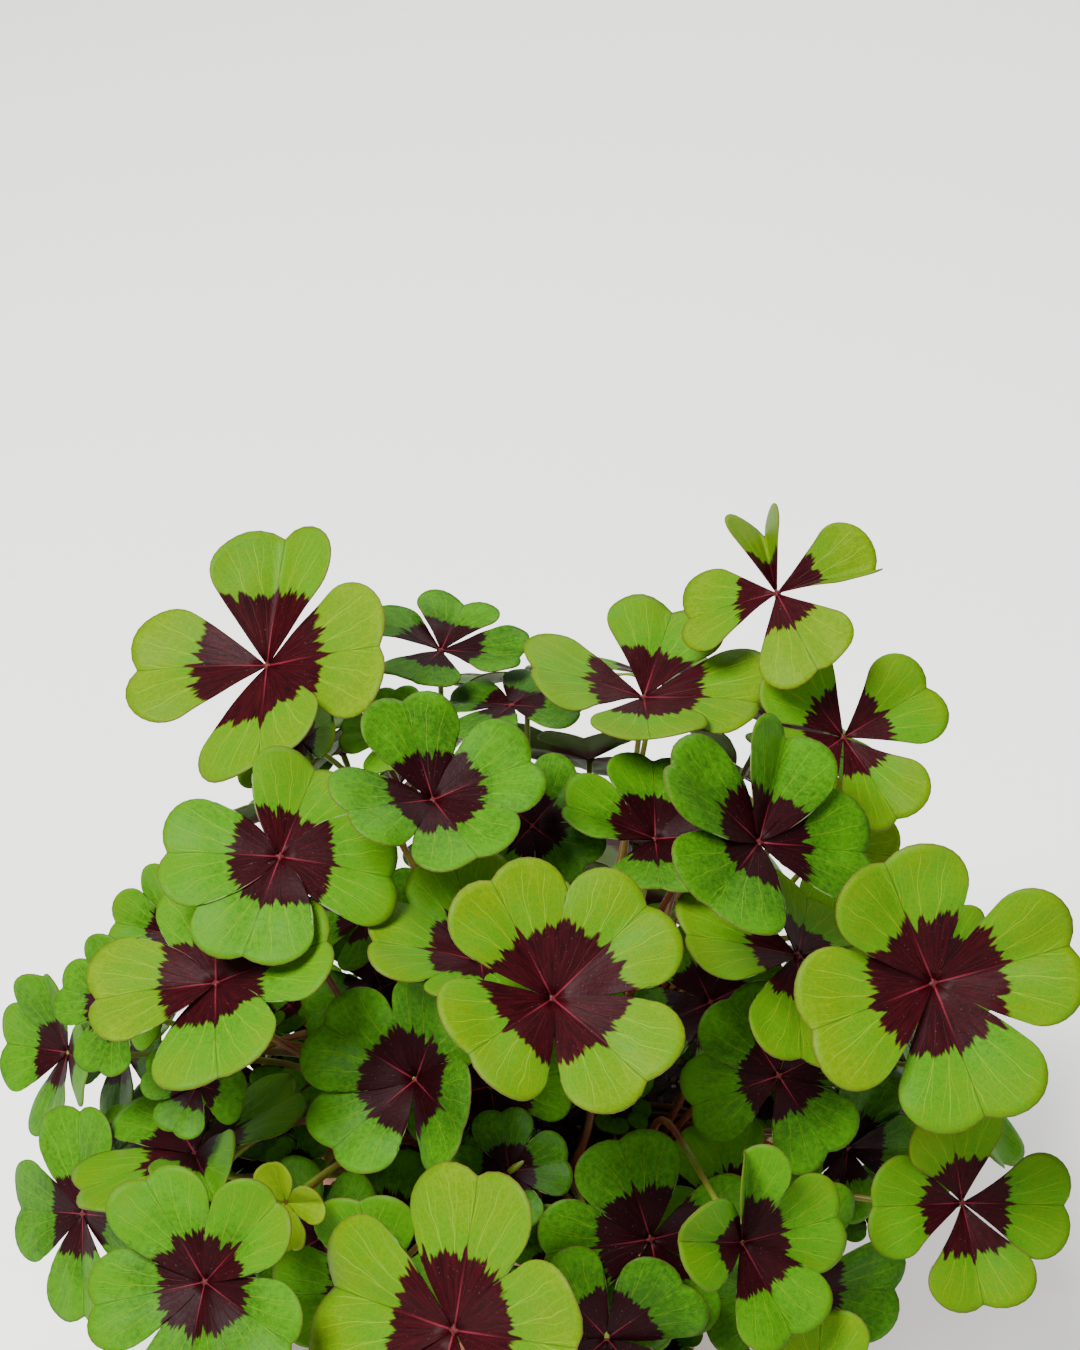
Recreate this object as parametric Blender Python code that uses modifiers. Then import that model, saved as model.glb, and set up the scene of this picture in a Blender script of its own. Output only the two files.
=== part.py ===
"""A potted four-leaf shamrock: terracotta pot, soil and twelve leafy tufts, in metres with +Z up."""

import math
import random
from typing import NamedTuple

import bmesh
import bpy
from mathutils import Quaternion, Vector
from mathutils.bvhtree import BVHTree
from mathutils.kdtree import KDTree

MM = 0.001
OBJECT_NAME = "potted_four_leaf_shamrock"
GAP = 0.3 * MM

# The pot stands on the floor with its axis on Z.
POT_HEIGHT = 110 * MM
POT_FOOT_RADIUS = 46 * MM
POT_NECK_RADIUS = 62 * MM
RIM_RADIUS = 69 * MM
RIM_HEIGHT = 27 * MM
RIM_ROUND = 1.5 * MM
FOOT_ROUND = 2 * MM
POT_WALL = 5 * MM
POT_FLOOR = 6 * MM
TURNED_STEPS = 32
DRAIN_COUNT = 3
DRAIN_RADIUS = 4.5 * MM
DRAIN_RING = 24 * MM
DRAIN_SIDES = 16
DRAIN_TURN = 0.25

# The soil fills the pot and is a little higher in the middle.
SOIL_EDGE = 94 * MM
SOIL_TOP = 96 * MM
SOIL_BEND = 0.7
SOIL_SWELL = 0.4 * MM

# The crowns stand in plain holes in the soil, four near the middle and eight further out.
INNER_CROWNS = 4
INNER_RING = 17 * MM
OUTER_CROWNS = 8
OUTER_RING = 41 * MM
CROWN_RADIUS = 4 * MM
CROWN_NECK = 3.2 * MM
CROWN_HEIGHT = 13 * MM
CROWN_DEPTH = 10 * MM
CROWN_SIDES = 8
CROWN_SHARE = 0.38
MOST_TO_A_CROWN = 7
ROOT_SHARE = 0.4
ROOT_ABOVE_SOIL = 0.5 * MM

# One leaflet, in shares of its own length: a wedge from the hub that ends in two round lobes.
LOBE_ALONG = 0.74
LOBE_ACROSS = 0.18
LOBE_RADIUS = 0.30
OUTLINE_ANGLES = (35.5, 27.0, 10.0)
CREASE_SHARE = 0.5
HUB_RADIUS = 1.8 * MM
HUB_ANGLE = 24.0
GUTTER = 0.12
ARCH = 0.30
DROOP = 0.05
BLADE_THICKNESS = 0.7 * MM
FULL_LEAFLETS = 4
LONGEST_LEAFLET = 45

# The leaf stalks.
STALK_RADIUS = 0.95 * MM
STALK_POINTS = 7
STALK_SAMPLES = 10
STALK_RISE = 0.42
STALK_LEAN = 0.08
STALK_REACH = 0.32
SWING_STEP = 5 * MM
SWING_SIZES = 9
SWING_TURNS = 12
SWING_SHARES = ((1.0, 0.6), (0.3, 1.2), (1.0, -0.4))
BLADE_CLEARANCE = 2.3 * MM
STALK_CLEARANCE = 2.5 * MM
RIM_CLEARANCE = 3 * MM
CROWDED_SHARE = 0.3
ROOM_NEEDED = 0.9

# The leaves behind and inside the ones in the photograph follow a rule, in mm and degrees.
RULE_SEED = 7
RULE_LEAVES = 20
RULE_TRIES = 900
RULE_STEPS = (0.754878, 0.569840)
RULE_LOWEST = -5
RULE_HIGHEST = 68
RULE_TILT = 62
RULE_TILT_FADE = 0.75
RULE_TILT_SPREAD = 8
RULE_LEAN_SPREAD = 15
RULE_TURN = 90
RULE_TURN_STEP = 5
RULE_BEHIND = -0.15
RULE_REACH_BEHIND = (0.74, 1.0)
RULE_REACH_INSIDE = (0.55, 0.8)
HIGHEST_INSIDE = 150
RULE_LENGTHS = (26, 28, 30, 32, 34)
RULE_CUPS = (5, 10, 15)
DOME_MIDDLE = Vector((0, 5, 105))
DOME_SIZE = Vector((124, 120, 134))
LOWEST_INSIDE = 116
LOWEST_OUTSIDE = 82
LEAF_SPACING = 2.6 * MM

TERRACOTTA = (0.42, 0.15, 0.07)
SOIL_BROWN = (0.03, 0.018, 0.011)
LEAF_GREEN = (0.16, 0.35, 0.02)


class Leaf(NamedTuple):
    """One leaf: its hub in mm, how far and which way it tilts from level, and its leaflets' headings."""

    hub: tuple
    tilt: float
    lean: float
    headings: tuple
    length: float
    cup: float = 10
    folds: tuple = (8, 8, 8, 8, 8)


# The leaves in the photograph, back to front. Angles are degrees, counterclockwise from +X.
TOP_LEAVES = (
    Leaf((-28, 62, 215), 5, 45, (75, 150, 250, 345), 25),
    Leaf((-8, 38, 213), 15, 120, (340, 60, 150, 240), 22, 0),
    Leaf((-74, 30, 232), 30, 235, (350, 75, 175, 270), 39, 15, (8, 30, 8, 8)),
    Leaf((63, 28, 257), 25, 210, (5, 95, 170, 285), 29, -8, (40, 60, 8, 8)),
    Leaf((-40, 22, 215), 20, 230, (355, 85, 175, 265), 15),
    Leaf((-65, 20, 214), 50, 215, (350, 85, 185, 265), 20, 20),
    Leaf((28, 22, 227), 5, 335, (345, 75, 180, 270), 34, 18),
    Leaf((81, 8, 224), 40, 295, (38, 142, 222, 303), 29, 15),
)
MIDDLE_LEAVES = (
    Leaf((79, 4, 190), 40, 310, (5, 95, 185, 275), 21),
    Leaf((-2, -15, 212), 35, 270, (50, 140, 230, 320), 20),
    Leaf((30, -22, 213), 10, 320, (0, 92, 172, 270), 27, 15),
    Leaf((-98, -12, 172), 60, 225, (340, 70, 150, 250), 21, 20),
    Leaf((-27, -38, 238), 20, 305, (25, 115, 210, 295), 29, 22),
    Leaf((-66, -42, 223), 25, 285, (355, 75, 180, 255), 31, 0),
    Leaf((55, -45, 230), 40, 330, (15, 85, 165, 240), 34, 10, (8, 30, 8, 8)),
    Leaf((107, -26, 171), 65, 310, (10, 100, 190, 280), 20, 15),
    Leaf((-82, -62, 198), 20, 215, (5, 90, 180, 275), 34, 10),
    Leaf((-15, -56, 200), 5, 225, (10, 105, 185, 275), 31, 28),
    Leaf((66, -50, 197), 30, 345, (0, 75, 185, 275), 33, -8),
    Leaf((98, -71, 206), 55, 280, (20, 120, 202, 293), 38, 15),
    Leaf((3, -92, 219), 30, 300, (50, 130, 225, 315), 35, 22),
)
LOWER_LEAVES = (
    Leaf((-132, -10, 128), 70, 215, (330, 65, 150, 240), 25, 20),
    Leaf((-118, 2, 120), 65, 215, (340, 70, 160, 250), 22),
    Leaf((-112, -32, 165), 60, 230, (335, 65, 150, 240), 20, 15),
    Leaf((-89, -60, 162), 45, 250, (335, 65, 160, 240), 15, 15),
    Leaf((-92, -56, 133), 20, 160, (15, 115, 195, 290), 34, 10, (8, 8, 8, 45)),
    Leaf((-32, -66, 169), 50, 235, (40, 135, 215, 315), 30, 28),
    Leaf((-13, -50, 152), 60, 240, (0, 90, 180, 270), 26),
    Leaf((62, -60, 165), 60, 275, (30, 125, 200, 305), 26, 5),
    Leaf((83, -48, 128), 65, 290, (5, 80, 180, 275), 22, 5),
    Leaf((111, -72, 131), 55, 285, (5, 110, 185, 285), 29, 15),
    Leaf((-125, -50, 105), 65, 220, (340, 70, 160, 250), 30, 5),
)
FRONT_LEAVES = (
    Leaf((-84, -110, 141), 48, 245, (35, 112, 184, 255, 322), 32, 12, (25, 8, 8, 8, 8)),
    Leaf((-65, -86, 145), 60, 255, (0, 95, 185, 275), 13, 20, (30, 40, 30, 30)),
    Leaf((-40, -68, 115), 50, 230, (42, 118, 215, 305), 23, 0),
    Leaf((-42, -96, 123), 65, 250, (355, 85, 175, 265), 28),
    Leaf((-21, -128, 143), 55, 225, (340, 60, 150, 240), 42, 5),
    Leaf((17, -112, 123), 65, 270, (40, 130, 220, 310), 27),
    Leaf((28, -98, 144), 65, 275, (15, 110, 190, 285), 29, 0),
    Leaf((51, -72, 130), 60, 285, (25, 115, 205, 295), 26, 10),
    Leaf((50, -110, 155), 60, 310, (30, 120, 190, 310), 28, 20, (8, 50, 30, 8)),
    Leaf((67, -86, 113), 65, 295, (10, 100, 190, 280), 30),
    Leaf((70, -122, 111), 65, 265, (355, 85, 175, 265), 26),
    Leaf((5, -86, 118), 60, 270, (25, 115, 205, 295), 22),
    Leaf((10, -103, 112), 65, 275, (30, 120, 210, 300), 24),
    Leaf((-58, -72, 118), 60, 235, (15, 105, 195, 285), 24),
    Leaf((47, -14, 150), 45, 255, (20, 110, 200, 290), 24),
    Leaf((-44, -6, 148), 45, 240, (10, 100, 190, 280), 24),
)


def clear_scene():
    for item in list(bpy.data.objects):
        bpy.data.objects.remove(item, do_unlink=True)


def new_collection(name):
    collection = bpy.data.collections.new(name)
    bpy.context.scene.collection.children.link(collection)
    return collection


def new_material(name, colour, roughness):
    material = bpy.data.materials.new(name)
    material.use_nodes = True
    shader = material.node_tree.nodes["Principled BSDF"]
    shader.inputs["Base Color"].default_value = (*colour, 1)
    shader.inputs["Roughness"].default_value = roughness
    return material


def add_object(name, mesh, collection):
    item = bpy.data.objects.new(name, mesh)
    collection.objects.link(item)
    return item


def mesh_from(name, build):
    """A mesh that the given function fills through bmesh."""
    mesh = bpy.data.meshes.new(name)
    bm = bmesh.new()
    build(bm)
    bm.to_mesh(mesh)
    bm.free()
    return mesh


def evaluated_mesh(item):
    """The item's mesh with its modifiers applied, welded where a curve's caps meet its tube."""
    graph = bpy.context.evaluated_depsgraph_get()
    mesh = bpy.data.meshes.new_from_object(item.evaluated_get(graph))
    bm = bmesh.new()
    bm.from_mesh(mesh)
    bmesh.ops.remove_doubles(bm, verts=bm.verts, dist=0.001 * MM)
    bm.to_mesh(mesh)
    bm.free()
    return mesh


def turned(name, profile, collection):
    """A solid of revolution about Z from (radius, height) points, outer side top to bottom."""

    def build(bm):
        points = [bm.verts.new((radius, 0, height)) for radius, height in profile]
        for start, end in zip(points, points[1:]):
            bm.edges.new((start, end))

    item = add_object(name, mesh_from(name, build), collection)
    screw = item.modifiers.new("turn", "SCREW")
    screw.steps = TURNED_STEPS
    screw.render_steps = TURNED_STEPS
    screw.use_merge_vertices = True
    screw.merge_threshold = 0.01 * MM
    return item


def add_cutter(name, radius, depth, sides, place, collection):
    def build(bm):
        bmesh.ops.create_cone(
            bm, cap_ends=True, segments=sides, radius1=radius, radius2=radius, depth=depth
        )

    item = add_object(name, mesh_from(name, build), collection)
    item.location = place
    item.display_type = "WIRE"
    item.hide_render = True
    return item


def cut_by(item, cutters):
    for cutter in cutters:
        cut = item.modifiers.new(cutter.name, "BOOLEAN")
        cut.operation = "DIFFERENCE"
        cut.solver = "EXACT"
        cut.object = cutter


def wall_radius(height):
    """The outer radius of the pot's tapering body at a height."""
    share = height / (POT_HEIGHT - RIM_HEIGHT)
    return POT_FOOT_RADIUS + (POT_NECK_RADIUS - POT_FOOT_RADIUS) * share


def build_pot(collection, cutters):
    neck = POT_HEIGHT - RIM_HEIGHT
    inner_top = RIM_RADIUS - POT_WALL
    profile = [
        (0, POT_FLOOR),
        (wall_radius(POT_FLOOR) - POT_WALL, POT_FLOOR),
        (POT_NECK_RADIUS - POT_WALL, neck),
        (inner_top, POT_HEIGHT - RIM_ROUND),
        (inner_top + RIM_ROUND, POT_HEIGHT),
        (RIM_RADIUS - RIM_ROUND, POT_HEIGHT),
        (RIM_RADIUS, POT_HEIGHT - RIM_ROUND),
        (RIM_RADIUS - RIM_ROUND, neck),
        (POT_NECK_RADIUS, neck),
        (wall_radius(FOOT_ROUND), FOOT_ROUND),
        (POT_FOOT_RADIUS - RIM_ROUND, 0),
        (0, 0),
    ]
    pot = turned("pot", profile, collection)
    drains = []
    for index in range(DRAIN_COUNT):
        angle = math.tau * (index + DRAIN_TURN) / DRAIN_COUNT
        place = (DRAIN_RING * math.cos(angle), DRAIN_RING * math.sin(angle), POT_FLOOR / 2)
        name = f"drain_cutter_{index + 1}"
        depth = POT_FLOOR * 3
        drains.append(add_cutter(name, DRAIN_RADIUS, depth, DRAIN_SIDES, place, cutters))
    cut_by(pot, drains)
    pot.data.materials.append(new_material("terracotta", TERRACOTTA, 0.85))
    return pot


def crown_places():
    places = []
    for count, ring, shift in ((INNER_CROWNS, INNER_RING, 0.5), (OUTER_CROWNS, OUTER_RING, 0)):
        for index in range(count):
            angle = math.tau * (index + shift) / count
            places.append(Vector((ring * math.cos(angle), ring * math.sin(angle), 0)))
    return places


def build_soil(places, collection, cutters):
    neck = POT_HEIGHT - RIM_HEIGHT
    inner_neck = POT_NECK_RADIUS - POT_WALL
    inner_top = RIM_RADIUS - POT_WALL
    share = (SOIL_EDGE - neck) / (POT_HEIGHT - RIM_ROUND - neck)
    edge = inner_neck + (inner_top - inner_neck) * share - GAP
    profile = [
        (0, SOIL_TOP),
        (edge * SOIL_BEND, (SOIL_TOP + SOIL_EDGE) / 2 + SOIL_SWELL),
        (edge, SOIL_EDGE),
        (inner_neck - GAP, neck),
        (wall_radius(POT_FLOOR) - POT_WALL - GAP * 2, POT_FLOOR + GAP),
        (0, POT_FLOOR + GAP),
    ]
    soil = turned("soil", profile, collection)
    holes = []
    for index, place in enumerate(places):
        floor = SOIL_TOP - CROWN_DEPTH - GAP
        middle = Vector((place.x, place.y, floor + CROWN_DEPTH))
        name = f"crown_cutter_{index + 1:02d}"
        radius = CROWN_RADIUS + GAP
        holes.append(add_cutter(name, radius, CROWN_DEPTH * 2, CROWN_SIDES, middle, cutters))
    cut_by(soil, holes)
    soil.data.materials.append(new_material("potting_soil", SOIL_BROWN, 0.95))
    return soil


def outline_radius(angle):
    """How far a leaflet's edge is from the hub, in leaflet lengths, at an angle from its midrib."""
    lobe_angle = math.atan2(LOBE_ACROSS, LOBE_ALONG)
    lobe_reach = math.hypot(LOBE_ALONG, LOBE_ACROSS)
    side = lobe_reach * math.sin(angle - lobe_angle)
    reach = lobe_reach * math.cos(angle - lobe_angle)
    reach += math.sqrt(max(LOBE_RADIUS**2 - side**2, 0))
    return reach / (lobe_reach + LOBE_RADIUS)


def leaflet_height(along, across):
    """The blade's rise above its own plane: a gutter at the midrib, arched halves and a drooping tip."""
    return GUTTER * abs(across) - ARCH * across**2 - DROOP * along**2


def leaf_axes(leaf):
    """The leaf's facing direction, and the turn that tilts a level leaf into place."""
    lean = math.radians(leaf.lean)
    turn = Quaternion((-math.sin(lean), math.cos(lean), 0), math.radians(leaf.tilt))
    return turn @ Vector((0, 0, 1)), turn


def leaflet_point(leaf, turn, index, along, across):
    """A point of one leaflet, given in shares of the leaflet's length."""
    heading = math.radians(leaf.headings[index])
    cup = math.radians(leaf.cup)
    fold = math.radians(leaf.folds[index])
    outward = Vector((math.cos(heading), math.sin(heading), 0))
    sideways = Vector((-math.sin(heading), math.cos(heading), 0))
    level = Vector((0, 0, 1))
    across *= FULL_LEAFLETS / max(len(leaf.headings), FULL_LEAFLETS)
    rise = leaflet_height(along, across)
    raised = abs(across) * math.sin(fold) + rise * math.cos(fold)
    flat = across * math.cos(fold)
    place = outward * (along * math.cos(cup) - raised * math.sin(cup))
    place += sideways * flat
    place += level * (along * math.sin(cup) + raised * math.cos(cup))
    return Vector(leaf.hub) * MM + turn @ (place * leaf.length * MM)


def build_leaf_sheet(bm, leaf):
    """The whole leaf as one open sheet: a small flat hub with each leaflet fanned from its crease."""
    _, turn = leaf_axes(leaf)
    rim = []
    for index, heading in enumerate(leaf.headings):
        crease = bm.verts.new(leaflet_point(leaf, turn, index, CREASE_SHARE, 0))
        notch = bm.verts.new(leaflet_point(leaf, turn, index, outline_radius(0), 0))
        corners = []
        for side in (-1, 1):
            angle = math.radians(heading + side * HUB_ANGLE)
            spoke = Vector((math.cos(angle), math.sin(angle), 0)) * HUB_RADIUS
            corner = bm.verts.new(Vector(leaf.hub) * MM + turn @ spoke)
            edge = [corner]
            for degrees in OUTLINE_ANGLES:
                angle = math.radians(degrees)
                reach = outline_radius(angle)
                along = reach * math.cos(angle)
                across = side * reach * math.sin(angle)
                edge.append(bm.verts.new(leaflet_point(leaf, turn, index, along, across)))
            edge.append(notch)
            for start, end in zip(edge, edge[1:]):
                bm.faces.new((crease, start, end) if side < 0 else (crease, end, start))
            corners.append(corner)
        bm.faces.new((crease, corners[1], corners[0]))
        rim += corners
    bm.faces.new(rim)


def leaf_tree(leaves):
    """A search tree over all the leaves' sheets, with the leaf that each face belongs to."""
    bm = bmesh.new()
    owners = []
    for number, leaf in enumerate(leaves):
        build_leaf_sheet(bm, leaf)
        owners += [number] * (len(bm.faces) - len(owners))
    bm.normal_update()
    tree = BVHTree.FromBMesh(bm)
    bm.free()
    return tree, owners


def sheet_samples(leaf):
    """The corners, edge middles and face middles of a leaf's sheet."""
    bm = bmesh.new()
    build_leaf_sheet(bm, leaf)
    samples = [corner.co.copy() for corner in bm.verts]
    samples += [(edge.verts[0].co + edge.verts[1].co) / 2 for edge in bm.edges]
    samples += [face.calc_center_median() for face in bm.faces]
    bm.free()
    return samples


def touches(leaf, placed):
    """Whether a leaf comes nearer than LEAF_SPACING to the ones already placed."""
    reach = (leaf.length + LONGEST_LEAFLET) * MM
    near = [other for other in placed if (Vector(other.hub) - Vector(leaf.hub)).length * MM < reach]
    if not near:
        return False
    tree, _ = leaf_tree(near)
    for sample in sheet_samples(leaf):
        if tree.find_nearest(sample, LEAF_SPACING)[0]:
            return True
    own_tree, _ = leaf_tree([leaf])
    for other in near:
        for sample in sheet_samples(other):
            if own_tree.find_nearest(sample, LEAF_SPACING)[0]:
                return True
    return False


def rule_leaves():
    """Leaves spread evenly over a dome, the front ones low and deep inside it."""
    draw = random.Random(RULE_SEED)
    for attempt in range(RULE_TRIES):
        share = attempt * RULE_STEPS[0] % 1
        round_angle = math.tau * (attempt * RULE_STEPS[1] % 1)
        height_angle = math.radians(RULE_LOWEST + (RULE_HIGHEST - RULE_LOWEST) * share)
        behind = math.sin(round_angle) > RULE_BEHIND
        reach = draw.uniform(*(RULE_REACH_BEHIND if behind else RULE_REACH_INSIDE))
        across = math.cos(height_angle) * reach
        hub = (
            round(DOME_MIDDLE.x + DOME_SIZE.x * across * math.cos(round_angle)),
            round(DOME_MIDDLE.y + DOME_SIZE.y * across * math.sin(round_angle)),
            round(DOME_MIDDLE.z + DOME_SIZE.z * math.sin(height_angle) * reach),
        )
        tilt = RULE_TILT * (1 - RULE_TILT_FADE * share)
        tilt += draw.uniform(-RULE_TILT_SPREAD, RULE_TILT_SPREAD)
        lean = math.degrees(round_angle) + draw.uniform(-RULE_LEAN_SPREAD, RULE_LEAN_SPREAD)
        first = draw.randrange(0, RULE_TURN, RULE_TURN_STEP)
        shifts = [draw.choice((-RULE_TURN_STEP, 0, 0, RULE_TURN_STEP)) for _ in range(FULL_LEAFLETS)]
        leaf = Leaf(
            hub=hub,
            tilt=round(tilt),
            lean=round(lean) % 360,
            headings=tuple(first + RULE_TURN * turn + shift for turn, shift in enumerate(shifts)),
            length=draw.choice(RULE_LENGTHS),
            cup=draw.choice(RULE_CUPS),
        )
        low = hub[2] < LOWEST_INSIDE and math.hypot(hub[0], hub[1]) < LOWEST_OUTSIDE
        high = not behind and hub[2] > HIGHEST_INSIDE
        if not low and not high:
            yield leaf


def stalk_route(root, leaf, swing):
    """Points on a curve from the crown that rises first and meets the leaf's hub from behind."""
    facing, _ = leaf_axes(leaf)
    hub = Vector(leaf.hub) * MM
    reach = (hub - root).length
    outward = Vector((hub.x - root.x, hub.y - root.y, 0)).normalized()
    rise = root + Vector((0, 0, STALK_RISE * reach)) + outward * STALK_LEAN * reach + swing[0]
    behind = hub - facing * STALK_REACH * reach + swing[1]
    points = []
    for step in range(STALK_POINTS):
        share = step / (STALK_POINTS - 1)
        left = 1 - share
        point = root * left**3 + rise * 3 * left**2 * share
        point += behind * 3 * left * share**2 + hub * share**3
        points.append(point)
    return points


def spaced_along(points):
    """The points of a route with more put evenly between them."""
    spaced = []
    for start, end in zip(points, points[1:]):
        spaced += [start.lerp(end, step / STALK_SAMPLES) for step in range(STALK_SAMPLES)]
    return spaced


def swings(root, hub):
    """Offsets to try for a stalk's lower and upper bend, sideways and upward, smallest first."""
    along = Vector((hub.x - root.x, hub.y - root.y, 0)).normalized()
    sideways = Vector((-along.y, along.x, 0))
    yield Vector(), Vector()
    for step in range(1, SWING_SIZES):
        for turn in range(SWING_TURNS):
            angle = math.tau * turn / SWING_TURNS
            swing = sideways * math.cos(angle) + Vector((0, 0, math.sin(angle)))
            swing *= step * SWING_STEP
            for lower, upper in SWING_SHARES:
                yield swing * lower, swing * upper


def room_around(points, number, tuft, tree, owners, stalks, marks):
    """How much clear space a route keeps, as the smallest share of what it needs."""
    room = 1.0
    for step, point in enumerate(points):
        radial = math.hypot(point.x, point.y)
        low = POT_HEIGHT + RIM_CLEARANCE - point.z
        if radial > RIM_RADIUS - POT_WALL - RIM_CLEARANCE and low > 0:
            outside = radial - RIM_RADIUS - RIM_CLEARANCE
            if outside < 0:
                room = min(room, 1 - min(low, -outside) / RIM_CLEARANCE)
        for _, _, face, distance in tree.find_nearest_range(point, BLADE_CLEARANCE):
            if owners[face] != number:
                room = min(room, distance / BLADE_CLEARANCE)
        rooted = step < len(points) * CROWDED_SHARE
        for _, mark, distance in stalks.find_range(point, STALK_CLEARANCE):
            other_tuft, other_rooted = marks[mark]
            if other_tuft == tuft and (rooted or other_rooted):
                continue
            room = min(room, distance / STALK_CLEARANCE)
    return room


def stalk_tree(grown):
    """A search tree over the points of the stalks so far, and for each its tuft and whether it is low."""
    routes = [(tuft, spaced_along(route)) for tuft, route in grown]
    tree = KDTree(sum(len(points) for _, points in routes))
    marks = []
    for tuft, points in routes:
        for step, point in enumerate(points):
            tree.insert(point, len(marks))
            marks.append((tuft, step < len(points) * CROWDED_SHARE))
    tree.balance()
    return tree, marks


def nearest_crown(leaf, crowns, grown):
    """The crown that a leaf grows from: the nearest to a share of its hub's offset, if it has room."""
    wanted = Vector((leaf.hub[0], leaf.hub[1], 0)) * MM * CROWN_SHARE
    owners = [tuft for tuft, _ in grown]
    free = [index for index in range(len(crowns)) if owners.count(index) < MOST_TO_A_CROWN]
    return min(free, key=lambda index: (crowns[index] - wanted).length)


def best_stalk(leaf, number, leaves, tuft, crowns, grown):
    """The first route from the crown to a leaf that has all the room it needs, or the roomiest one."""
    tree, owners = leaf_tree(leaves)
    stalks, marks = stalk_tree(grown)
    hub = Vector(leaf.hub) * MM
    outward = Vector((hub.x, hub.y, 0)) - crowns[tuft]
    root = crowns[tuft] + outward.normalized() * CROWN_NECK * ROOT_SHARE
    root.z = SOIL_TOP + ROOT_ABOVE_SOIL
    best_room = -math.inf
    for swing in swings(root, hub):
        route = stalk_route(root, leaf, swing)
        room = room_around(spaced_along(route), number, tuft, tree, owners, stalks, marks)
        if room > best_room:
            best_room = room
            best_route = route
        if room >= 1:
            break
    return best_room, best_route


def crosses_stalk(leaf, grown):
    """Whether a leaf's blade comes too near a stalk already there."""
    tree, _ = leaf_tree([leaf])
    for _, route in grown:
        for point in spaced_along(route):
            if tree.find_nearest(point, BLADE_CLEARANCE)[0]:
                return True
    return False


def grow_leaves(crowns):
    """All the leaves, and for each the crown it grows from and its stalk's route."""
    leaves = list(TOP_LEAVES + MIDDLE_LEAVES + LOWER_LEAVES + FRONT_LEAVES)
    total = len(leaves) + RULE_LEAVES
    grown = []
    for number, leaf in enumerate(leaves):
        tuft = nearest_crown(leaf, crowns, grown)
        _, route = best_stalk(leaf, number, leaves, tuft, crowns, grown)
        grown.append((tuft, route))
    for leaf in rule_leaves():
        if len(leaves) == total:
            break
        if touches(leaf, leaves) or crosses_stalk(leaf, grown):
            continue
        tuft = nearest_crown(leaf, crowns, grown)
        room, route = best_stalk(leaf, len(leaves), leaves + [leaf], tuft, crowns, grown)
        if room >= ROOM_NEEDED:
            leaves.append(leaf)
            grown.append((tuft, route))
    return leaves, grown


def add_stalk(points, collection):
    curve = bpy.data.curves.new("stalk", "CURVE")
    curve.dimensions = "3D"
    curve.bevel_depth = STALK_RADIUS
    curve.bevel_resolution = 0
    curve.use_fill_caps = True
    spline = curve.splines.new("POLY")
    spline.points.add(len(points) - 1)
    for target, point in zip(spline.points, points):
        target.co = (*point, 1)
    guide = add_object("stalk_guide", curve, collection)
    stalk = add_object("stalk", evaluated_mesh(guide), collection)
    bpy.data.objects.remove(guide, do_unlink=True)
    return stalk


def add_blade(leaf, collection):
    mesh = mesh_from("blade", lambda bm: build_leaf_sheet(bm, leaf))
    sheet = add_object("blade_sheet", mesh, collection)
    solid = sheet.modifiers.new("thickness", "SOLIDIFY")
    solid.thickness = BLADE_THICKNESS
    solid.offset = 0
    blade = add_object("blade", evaluated_mesh(sheet), collection)
    bpy.data.objects.remove(sheet, do_unlink=True)
    return blade


def add_crown(place, collection):
    def build(bm):
        bmesh.ops.create_cone(
            bm,
            cap_ends=True,
            segments=CROWN_SIDES,
            radius1=CROWN_RADIUS,
            radius2=CROWN_NECK,
            depth=CROWN_HEIGHT,
        )

    crown = add_object("crown", mesh_from("crown", build), collection)
    crown.location = (place.x, place.y, SOIL_TOP - CROWN_DEPTH + CROWN_HEIGHT / 2)
    return crown


def build_tufts(crowns, collection):
    """One node for each crown: the stub with its stalks and blades joined on."""
    leaves, grown = grow_leaves(crowns)
    material = new_material("leaf_green", LEAF_GREEN, 0.45)
    for tuft, place in enumerate(crowns):
        pieces = new_collection("pieces")
        crown = add_crown(place, collection)
        for leaf, (owner, route) in zip(leaves, grown):
            if owner == tuft:
                add_stalk(route, pieces)
                add_blade(leaf, pieces)
        union = crown.modifiers.new("join", "BOOLEAN")
        union.operation = "UNION"
        union.solver = "EXACT"
        union.operand_type = "COLLECTION"
        union.collection = pieces
        bpy.context.view_layer.update()
        joined = add_object(f"tuft_{tuft + 1:02d}", evaluated_mesh(crown), collection)
        joined.matrix_world = crown.matrix_world
        joined.data.materials.clear()
        joined.data.materials.append(material)
        bpy.data.objects.remove(crown, do_unlink=True)
        for piece in list(pieces.objects):
            bpy.data.objects.remove(piece, do_unlink=True)
        bpy.data.collections.remove(pieces)


def main():
    clear_scene()
    collection = new_collection(OBJECT_NAME)
    cutters = new_collection("cutters")
    cutters.hide_render = True
    crowns = crown_places()
    build_pot(collection, cutters)
    build_soil(crowns, collection, cutters)
    build_tufts(crowns, collection)


if __name__ == "__main__":
    main()
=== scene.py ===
"""The finish of a potted four-leaf shamrock, dressed over its solids, in metres with +Z up."""

import math
import random
from typing import NamedTuple

import bmesh
import bpy
import numpy as np
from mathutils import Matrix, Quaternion, Vector
from mathutils.bvhtree import BVHTree
from mathutils.kdtree import KDTree


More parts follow.
